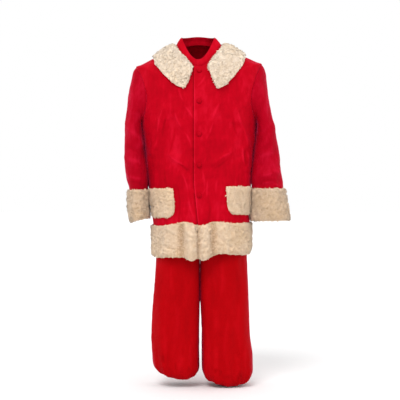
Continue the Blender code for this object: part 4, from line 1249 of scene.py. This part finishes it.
def pockets(panels):
    """Patch pockets of pile with rounded lower corners, made from the points of the fronts."""
    made = {}
    for number, (part, row) in enumerate((("right", RIGHT_POCKET), ("left", LEFT_POCKET))):
        pocket = dict(zip(POCKET_COLUMNS, row))
        top, corner = pocket["top"], pocket["corner"]
        panel = panels["jacket_front_" + part]
        height = panel["outer"][:, POCKET_PANEL_LINE, 2]
        middle = int(np.argmin(np.abs(height - (top + pocket["bottom"]) / 2)))
        degrees = np.degrees(panel["turns"][middle])
        wide = pocket["far_turn"] - pocket["near_turn"]
        wanted = pocket["near_turn"] + wide * np.arange(POCKET_LINES + 1) / POCKET_LINES
        lines = np.sort(np.interp(wanted, degrees, np.arange(len(degrees))))
        run = run_along(panel["outer"][middle:middle + 1], 1)[0]
        run = np.interp(lines, np.arange(len(run)), run)
        near = np.minimum(run - run[0], run[-1] - run)
        rise = corner - np.sqrt(corner ** 2 - np.clip(corner - near, 0, corner) ** 2)
        down = np.arange(POCKET_ROWS + 1) / POCKET_ROWS
        z = top + (pocket["bottom"] + rise - top)[None, :] * down[:, None]
        strip = read_between(panel["outer"], lines, 1)
        ways = read_between(panel["outward"], lines, 1)
        order = np.arange(len(strip))
        places = np.array([np.interp(-z[:, k], -strip[:, k, 2], order) for k in range(len(lines))]).T
        top_row = np.clip(np.floor(places).astype(int), 0, len(strip) - 2)
        part_way = (places - top_row)[..., None]
        which = np.arange(len(lines))[None, :]
        base = strip[top_row, which] * (1 - part_way) + strip[top_row + 1, which] * part_way
        out = unit(ways[top_row, which] * (1 - part_way) + ways[top_row + 1, which] * part_way)
        across = (run - run[0]) / (run[-1] - run[0])
        profile = rounded_edges(down, across, bend_b=0.1)
        made[part] = pile_piece("pocket_fur_" + part, base + out * POCKET_SEAT, out, profile, False,
                                PILE_THICK, TRIM_COLOURS, POCKET_SEED + number)
    return made


def stand_collar():
    """The red stand collar: a stiff band with a rounded top edge, open at the front."""
    gap = float(turn_at(np.array(STAND_OPEN_X), np.array(0.0)))
    turns = gap + STAND_END_GAP + (FULL_TURN - 2 * STAND_END_GAP) * crowded(STAND_LINES)
    turn, rise = np.meshgrid(turns, crowded(STAND_ROWS))
    middle = stand_point(turn, rise)
    normal = grid_outward(middle, False)
    size, high, seed = STAND_WAVE
    lift = high * waves(middle, size, seed) * np.sin(math.pi * rise)
    roll = edge_roll(middle, False)
    outer = middle + normal * (lift - roll)[..., None]
    inner = middle + normal * (lift - STAND_THICK + roll)[..., None]
    foot_out = body_outward(turns, np.zeros_like(turns))
    outer[0] = outer[0] - foot_out * STAND_TUCK + unit(outer[0] - outer[2]) * 2 * STAND_TUCK
    inner[0] = outer[0] - foot_out * (STAND_THICK - STAND_TUCK)
    look = velvet("stand_collar_look", *COAT_COLOURS)
    return replaced(shell("stand_collar_cloth", outer, inner, False, look), "stand_collar")


def fur_collar():
    """The flat pile collar, falling from the neck over the shoulders to two tips."""
    rows = COLLAR_EDGE[::-1]
    u = crowded(COLLAR_STEPS)
    u = u - COLLAR_CROWD * np.sin(FULL_TURN * u) / FULL_TURN
    degrees = rows[0][0] + (rows[-1][0] - rows[0][0]) * u
    along = np.radians(degrees)
    neck_level = column(COLLAR_COLUMNS, rows, "neck_level", degrees)
    edge_turn = np.radians(column(COLLAR_COLUMNS, rows, "edge_turn", degrees))
    edge_level = column(COLLAR_COLUMNS, rows, "edge_level", degrees)
    w = np.arange(COLLAR_ROWS + 1) / COLLAR_ROWS
    turns = along + (edge_turn - along) * w[:, None]
    levels = neck_level + (edge_level - neck_level) * w[:, None]
    profile = rounded_edges(w, u, edge=0.4, bend_a=0.14, bend_b=0.006)
    base, outward = jacket_surface(turns, levels, COLLAR_SEAT)
    return pile_piece("fur_collar", base, outward, profile, False, COLLAR_PILE_THICK, COLLAR_COLOURS,
                      COLLAR_SEED)


def round_armhole():
    """Sweep round the armhole and the sleeve: down the front from the shoulder and up the back."""
    return np.pi * np.arange(2 * ARMHOLE_STEPS) / ARMHOLE_STEPS


def armhole_ring(side):
    """The armhole edge round the body, a seam's width inside it, with its outward directions."""
    middle = (SHOULDER_TIP + UNDERARM) / 2
    half = (UNDERARM - SHOULDER_TIP) / 2 - ARMHOLE_INSET
    sweep = round_armhole()
    levels = middle - half * np.cos(sweep)
    opening = (ARMHOLE_TURN - ARMHOLE_INSET / ARMHOLE_REACH) * np.sin(sweep)
    turns = side * (QUARTER - opening)
    return jacket_surface(turns, levels)


def sleeve_rings(side, rows, at):
    """Rings from the armhole to the wrist; the armhole's own shape fades out down the sleeve."""
    sweep = round_armhole()

    def oval(ring):
        value = {name: column(SLEEVE_COLUMNS, rows, name, ring)[:, None] for name in SLEEVE_COLUMNS[1:]}
        arm_x = (value["outer_x"] - value["inner_x"]) / 2
        arm_z = (value["outer_z"] - value["inner_z"]) / 2
        x = (value["outer_x"] + value["inner_x"]) / 2 + arm_x * np.cos(sweep)
        y = value["middle_y"] - value["half_deep"] * np.sin(sweep)
        z = (value["outer_z"] + value["inner_z"]) / 2 + arm_z * np.cos(sweep)
        return np.stack((side * x, y, z), axis=-1), value["armhole"]

    edge, edge_out = armhole_ring(side)
    first = oval(np.array((0.0,)))[0]
    points, share = oval(at)
    return points + share[..., None] * (edge - first[0]), edge_out


def sleeves():
    """Both sleeves with folds and creases, and their deep pile cuffs."""
    made = {}
    for number, (name, side, rows) in enumerate((("right", -1, RIGHT_SLEEVE), ("left", 1, LEFT_SLEEVE))):
        last = rows[-1][0]
        at = last * crowded(SLEEVE_STEPS)
        rings, edge_out = sleeve_rings(side, rows, at)
        inside = np.clip(-np.cos(round_armhole()), 0, 1) ** 2
        at_cuff = ease((at - CUFF_RING + CUFF_PRESS_EASE) / CUFF_PRESS_EASE)
        press = SLEEVE_PRESS[name] * ease(at / SLEEVE_EASE) + CUFF_PRESS[name] * at_cuff
        rings[..., 0] -= side * press[:, None] * inside
        normal = grid_outward(rings, True)
        normal[0] = edge_out
        flat = rings - np.array((0, 1, 0)) * rings.mean(axis=1, keepdims=True)
        soft = ease(at / SLEEVE_EASE)[:, None]
        fine = crease_height(flat, SLEEVE_CREASES, -1) + crease_height(flat, BACK_SLEEVE_CREASES, 1)
        lift = fine + fold_height(flat, SLEEVE_FOLDS, -1)
        lift = (lift + soft_lift(flat, (1, 1, 0.7), SLEEVE_WAVES, number)) * soft
        surface = rings + normal * lift[..., None]
        roll = edge_roll(surface, True)
        outer = surface - normal * roll[..., None]
        inner = surface - normal * CLOTH
        node = "sleeve_" + name
        # a darker copy of the coat's velvet: painted shade on the arms
        look = velvet(node + "_look", *SHADED_SLEEVE_COLOURS)
        # the cloth's value paints highlight on crease ridges and shade in their troughs
        cloth = replaced(shell(node + "_cloth", outer, inner, True, look, crease_light_value(fine)), node)
        cuff_at = np.linspace(CUFF_RING, last, CUFF_STEPS + 1)
        place = np.interp(cuff_at, at, np.arange(len(at)))
        base = read_between(surface, place, 0)
        out = unit(read_between(normal, place, 0))
        base[-1] += unit(base[-1] - base[-2]) * BAND_LEFT_BARE
        w = np.arange(CUFF_STEPS + 1) / CUFF_STEPS
        profile = rounded_edges(w, np.full(base.shape[1], 0.5), edge=0.45, bend_a=0.1)
        cuff = pile_piece("cuff_fur_" + name, base + out * PILE_SEAT, out, profile, True, PILE_THICK,
                          SHADED_CUFF_COLOURS, CUFF_SEED + number)
        made[name] = (cloth, cuff)
    return made


def buttons():
    """Covered buttons: an outline turned round its middle, puckered in under its rim.

    The puckers are a cosine round the button that grows from the rim to the back.
    """
    order = np.arange(len(BUTTON_RADII))
    ring = FULL_TURN * np.arange(BUTTON_SIDES) / BUTTON_SIDES
    steps = np.linspace(0, len(BUTTON_RADII) - 1, BUTTON_STEPS)[1:]
    radius = np.interp(steps, order, BUTTON_RADII)[:, None]
    height = np.interp(steps, order, BUTTON_RISES)[:, None]
    level = np.linspace(0, BUTTON_LINE_END, BUTTON_LINE_STEPS)
    line, ways = jacket_surface(turn_at(np.full_like(level, BUTTON_X), level), level)
    squares = grid_faces(len(steps), BUTTON_SIDES, True)
    c = np.arange(BUTTON_SIDES)
    d = (c + 1) % BUTTON_SIDES
    last = (len(steps) - 1) * BUTTON_SIDES
    front = 0 * c + last + BUTTON_SIDES
    faces = np.concatenate((
        squares[:, (0, 1, 2)],
        squares[:, (0, 2, 3)],
        np.stack((front, c, d), -1),
        np.stack((last + d, last + c, front + 1), -1),
    ))
    for number, z in enumerate(BUTTON_HEIGHTS, 1):
        place = int(np.argmin(np.abs(line[:, 2] - z)))
        facing = ways[place]
        seat = line[place] + facing * BUTTON_SEAT
        grown = ease((steps[:, None] - BUTTON_PUCKER_FROM) / BUTTON_PUCKER_OVER)
        wide = radius + grown * BUTTON_PUCKER_HIGH * np.cos(BUTTON_PUCKERS * ring + number)
        across = unit(np.cross(facing, np.array((0.0, 0.0, 1.0))))
        up = np.cross(across, facing)
        points = (seat + across * (wide * np.cos(ring))[..., None]
                  + up * (wide * np.sin(ring))[..., None] + facing * (height + 0 * ring)[..., None])
        ends = [seat + facing * BUTTON_RISES[0], seat + facing * BUTTON_RISES[-1]]
        points = np.concatenate((points.reshape(-1, 3), ends))
        name = "button_" + str(number)
        look = velvet(name + "_look", *BUTTON_COLOURS, sheen=0.3)
        replaced(add_mesh(name + "_cover", points, faces, look, np.full(len(points), 0.5)), name)


def trouser_panel(side, rows, front, at, shares):
    """Points of one panel: hip ring above the crotch, leg ring below, mixed by the leg share.

    The gathers are a cosine round the ankle with finer ones on it, which come in patches.
    """
    order = np.arange(len(rows))
    value = {name: smooth_curve(order, [row[k] for row in rows], at)[:, None]
             for k, name in enumerate(LEG_COLUMNS)}
    z = value["z"]
    hip = {name: smooth_curve([-row[0] for row in HIP_RINGS], [row[k] for row in HIP_RINGS], -z)
           for k, name in enumerate(HIP_COLUMNS)}
    face = 1 if front else -1
    deep = value["front"] if front else value["back"]
    hip_deep = hip["front"] if front else hip["back"]
    swing = QUARTER * shares[None, :]
    reach = squarish(swing, hip["half"], hip_deep, BODY_SQUARE)
    hip_x = reach * np.sin(swing) + SEAM_GAP / 2
    hip_y = -face * reach * np.cos(swing)
    turn = -QUARTER + math.pi * shares[None, :]
    half = (value["outer"] - value["inner"]) / 2
    square = LEG_SQUARE_OUTSIDE + (LEG_SQUARE_INSIDE - LEG_SQUARE_OUTSIDE) * ease(-np.sin(turn))
    reach = squarish(turn, half, deep, square)
    seed = (1 if front else 2) + (0 if side < 0 else 4)
    patchy = 0.7 + 0.5 * np.sin(3.3 * turn + seed) + 0.3 * np.sin(7.1 * turn + 2 * seed)
    small = SMALL_GATHER_SHARE * patchy * np.cos(SMALL_GATHERS * turn + 2 * np.sin(2 * turn))
    reach = reach + value["gather"] * (np.cos(LEG_GATHERS * turn) + small)
    leg_x = (value["outer"] + value["inner"]) / 2 + reach * np.sin(turn)
    leg_y = -face * reach * np.cos(turn)
    mix = hip["leg_share"]
    x = hip_x * (1 - mix) + leg_x * mix
    y = hip_y * (1 - mix) + leg_y * mix
    low = value["droop"] * (np.cos(turn) ** 2 + side * LEG_SLANT * np.sin(turn))
    return np.stack((TROUSER_CENTRE + side * x, y, z - low), axis=-1), mix


def trousers():
    """Four trouser panels, each from the waist to the gathered ankle, with seams that dip."""
    made = {}
    shares = crowded(LEG_STEPS)
    for name, side, rows in (("right", -1, RIGHT_LEG), ("left", 1, LEFT_LEG)):
        order = np.arange(len(rows), dtype=float)
        steps = [max(abs(a[0] - b[0]), abs(a[2] - b[2])) for a, b in zip(rows, rows[1:])]
        length = np.concatenate(((0,), np.cumsum(steps)))
        run = np.linspace(0, length[-1], LEG_ROWS + 1)
        at = np.interp(run, length, order)
        foot = np.linspace(order[-1] - LEG_FOOT_RINGS, order[-1], LEG_FOOT_ROWS)
        at = np.unique(np.concatenate((at, foot)))
        panels = {part: trouser_panel(side, rows, part == "front", at, shares) for part in ("front", "back")}
        full = np.concatenate((panels["front"][0], panels["back"][0][:, -2::-1]), axis=1)
        mix = panels["front"][1]
        pull = full.mean(axis=1, keepdims=True) * np.array((1, 1, 0)) + np.array((0, 0, 1)) * full
        normal = grid_outward(full, False, pull)
        level_way = normal[:, 0] * np.array((1, 0, 1)) + np.array((-side * MILLIMETRE, 0, 0))
        normal[:, -1] = normal[:, 0] = unit(level_way)
        level = np.nonzero(mix[:, 0] < 1)[0]
        inward = np.array((-side, 0.0, 0.0))
        ahead = np.array((0.0, -1.0, 0.0))
        normal[level, 0] = unit(inward * mix[level] + ahead * (1 - mix[level]))
        normal[level, -1] = unit(inward * mix[level] - ahead * (1 - mix[level]))
        count = len(shares)
        for part, block in (("front", slice(0, count)), ("back", slice(count - 1, None))):
            points = full[:, block]
            out = normal[:, block]
            face = -1 if part == "front" else 1
            fine = crease_height(points, TROUSER_CREASES if part == "front" else BACK_TROUSER_CREASES, face)
            near_seam = ease(np.minimum(shares, 1 - shares) / LEG_SEAM_SHARE)
            near_seam = near_seam if part == "front" else near_seam[::-1]
            soft = soft_lift(points, (1, 1, 0.35), TROUSER_WAVES)
            lift = fold_height(points, TROUSER_FOLDS, face) + fine + soft * near_seam
            surface = points + out * lift[..., None]
            surface[..., 1] += face * SEAM_GAP / 2 * (np.minimum(shares, 1 - shares) == 0)
            seam = 0 if part == "front" else -1
            from_seam = np.linalg.norm(surface - surface[:, seam:][:, :1], axis=-1)
            roll = edge_roll(surface, False) * LEG_ROLL_SHARE * ease(from_seam / LEG_ROLL_FREE)
            outer = surface - out * roll[..., None]
            inner = surface - out * CLOTH
            node = "trouser_" + part + "_" + name
            look = velvet(node + "_look", *TROUSER_COLOURS, sheen=0.35, uneven=0.5)
            # the cloth's value paints highlight on crease ridges and shade in their troughs
            made[node] = replaced(shell(node + "_cloth", outer, inner, False, look, crease_light_value(fine)), node)
    return made


def waistband():
    """The waistband, gathered on its elastic."""
    turns = FULL_TURN * np.arange(WAISTBAND_LINES) / WAISTBAND_LINES
    turn, rise = np.meshgrid(turns, crowded(WAISTBAND_ROWS))
    top = dict(zip(HIP_COLUMNS, HIP_RINGS[0]))
    deep = np.where(np.cos(turn) >= 0, top["front"], top["back"])
    reach = squarish(turn, top["half"], deep, BODY_SQUARE)
    pleats = np.cos(WAISTBAND_PLEATS * turn) * np.sin(math.pi * rise)
    reach = reach + WAISTBAND_PLEAT_DEEP * (pleats - 1)
    z = WAISTBAND_TOP + (WAISTBAND_FOOT - WAISTBAND_TOP) * rise
    outer = np.stack((TROUSER_CENTRE + reach * np.sin(turn), -reach * np.cos(turn), z), axis=-1)
    out = grid_outward(outer, True)
    outer = outer - out * edge_roll(outer, True)[..., None]
    look = velvet("waistband_look", *TROUSER_COLOURS, sheen=0.35, uneven=0.5)
    return replaced(shell("waistband_cloth", outer, outer - out * WAISTBAND_CLOTH, True, look), "waistband")


def soft_sun(name, azimuth, elevation, strength, softness):
    """A broad distant light from an azimuth round the garment and a height above the floor."""
    data = bpy.data.lights.new(name, "SUN")
    data.energy = strength
    data.angle = math.radians(softness)
    lamp = bpy.data.objects.new(name, data)
    turn, rise = math.radians(azimuth), math.radians(elevation)
    towards = Vector((math.sin(turn) * math.cos(rise), -math.cos(turn) * math.cos(rise), math.sin(rise)))
    lamp.rotation_euler = towards.to_track_quat("Z", "Y").to_euler()
    bpy.context.scene.collection.objects.link(lamp)


def pale_floor():
    """A wide plain pale floor under the feet of the garment."""
    material, _, shader = nodes_of("floor_look")
    shader.inputs["Base Color"].default_value = (FLOOR_SHADE, FLOOR_SHADE, FLOOR_SHADE, 1)
    shader.inputs["Roughness"].default_value = 0.9
    half = FLOOR_HALF * MILLIMETRE
    low = FLOOR_Z * MILLIMETRE
    mesh = bpy.data.meshes.new("floor")
    corners = [(-half, -half, low), (half, -half, low), (half, half, low), (-half, half, low)]
    mesh.from_pydata(corners, [], [(0, 1, 2, 3)])
    mesh.materials.append(material)
    floor = bpy.data.objects.new("floor", mesh)
    bpy.context.scene.collection.objects.link(floor)


def studio():
    """The floor, soft lights, a white world and the camera at the photo's angle."""
    pale_floor()
    world = bpy.data.worlds.new("white")
    world.use_nodes = True
    ground = world.node_tree.nodes["Background"]
    ground.inputs["Color"].default_value = (1, 1, 1, 1)
    ground.inputs["Strength"].default_value = WORLD_LIGHT
    bpy.context.scene.world = world
    bpy.context.scene.view_settings.view_transform = "Standard"
    for name, azimuth, elevation, strength, wide in LIGHTS:
        soft_sun(name, azimuth, elevation, strength, wide)
    data = bpy.data.cameras.new("camera")
    data.sensor_width = SENSOR
    data.lens = SENSOR * CAMERA_AWAY / FIELD
    camera = bpy.data.objects.new("camera", data)
    camera.location = (CAMERA_X * MILLIMETRE, -CAMERA_AWAY * MILLIMETRE, CAMERA_Z * MILLIMETRE)
    camera.rotation_euler = (math.radians(90), 0, 0)
    bpy.context.scene.collection.objects.link(camera)
    bpy.context.scene.camera = camera


panels = jacket_panels()
bands = hem_bands(panels)
patches = pockets(panels)
stand = stand_collar()
collar = fur_collar()
arms = sleeves()
buttons()
legs = trousers()
band = waistband()
studio()
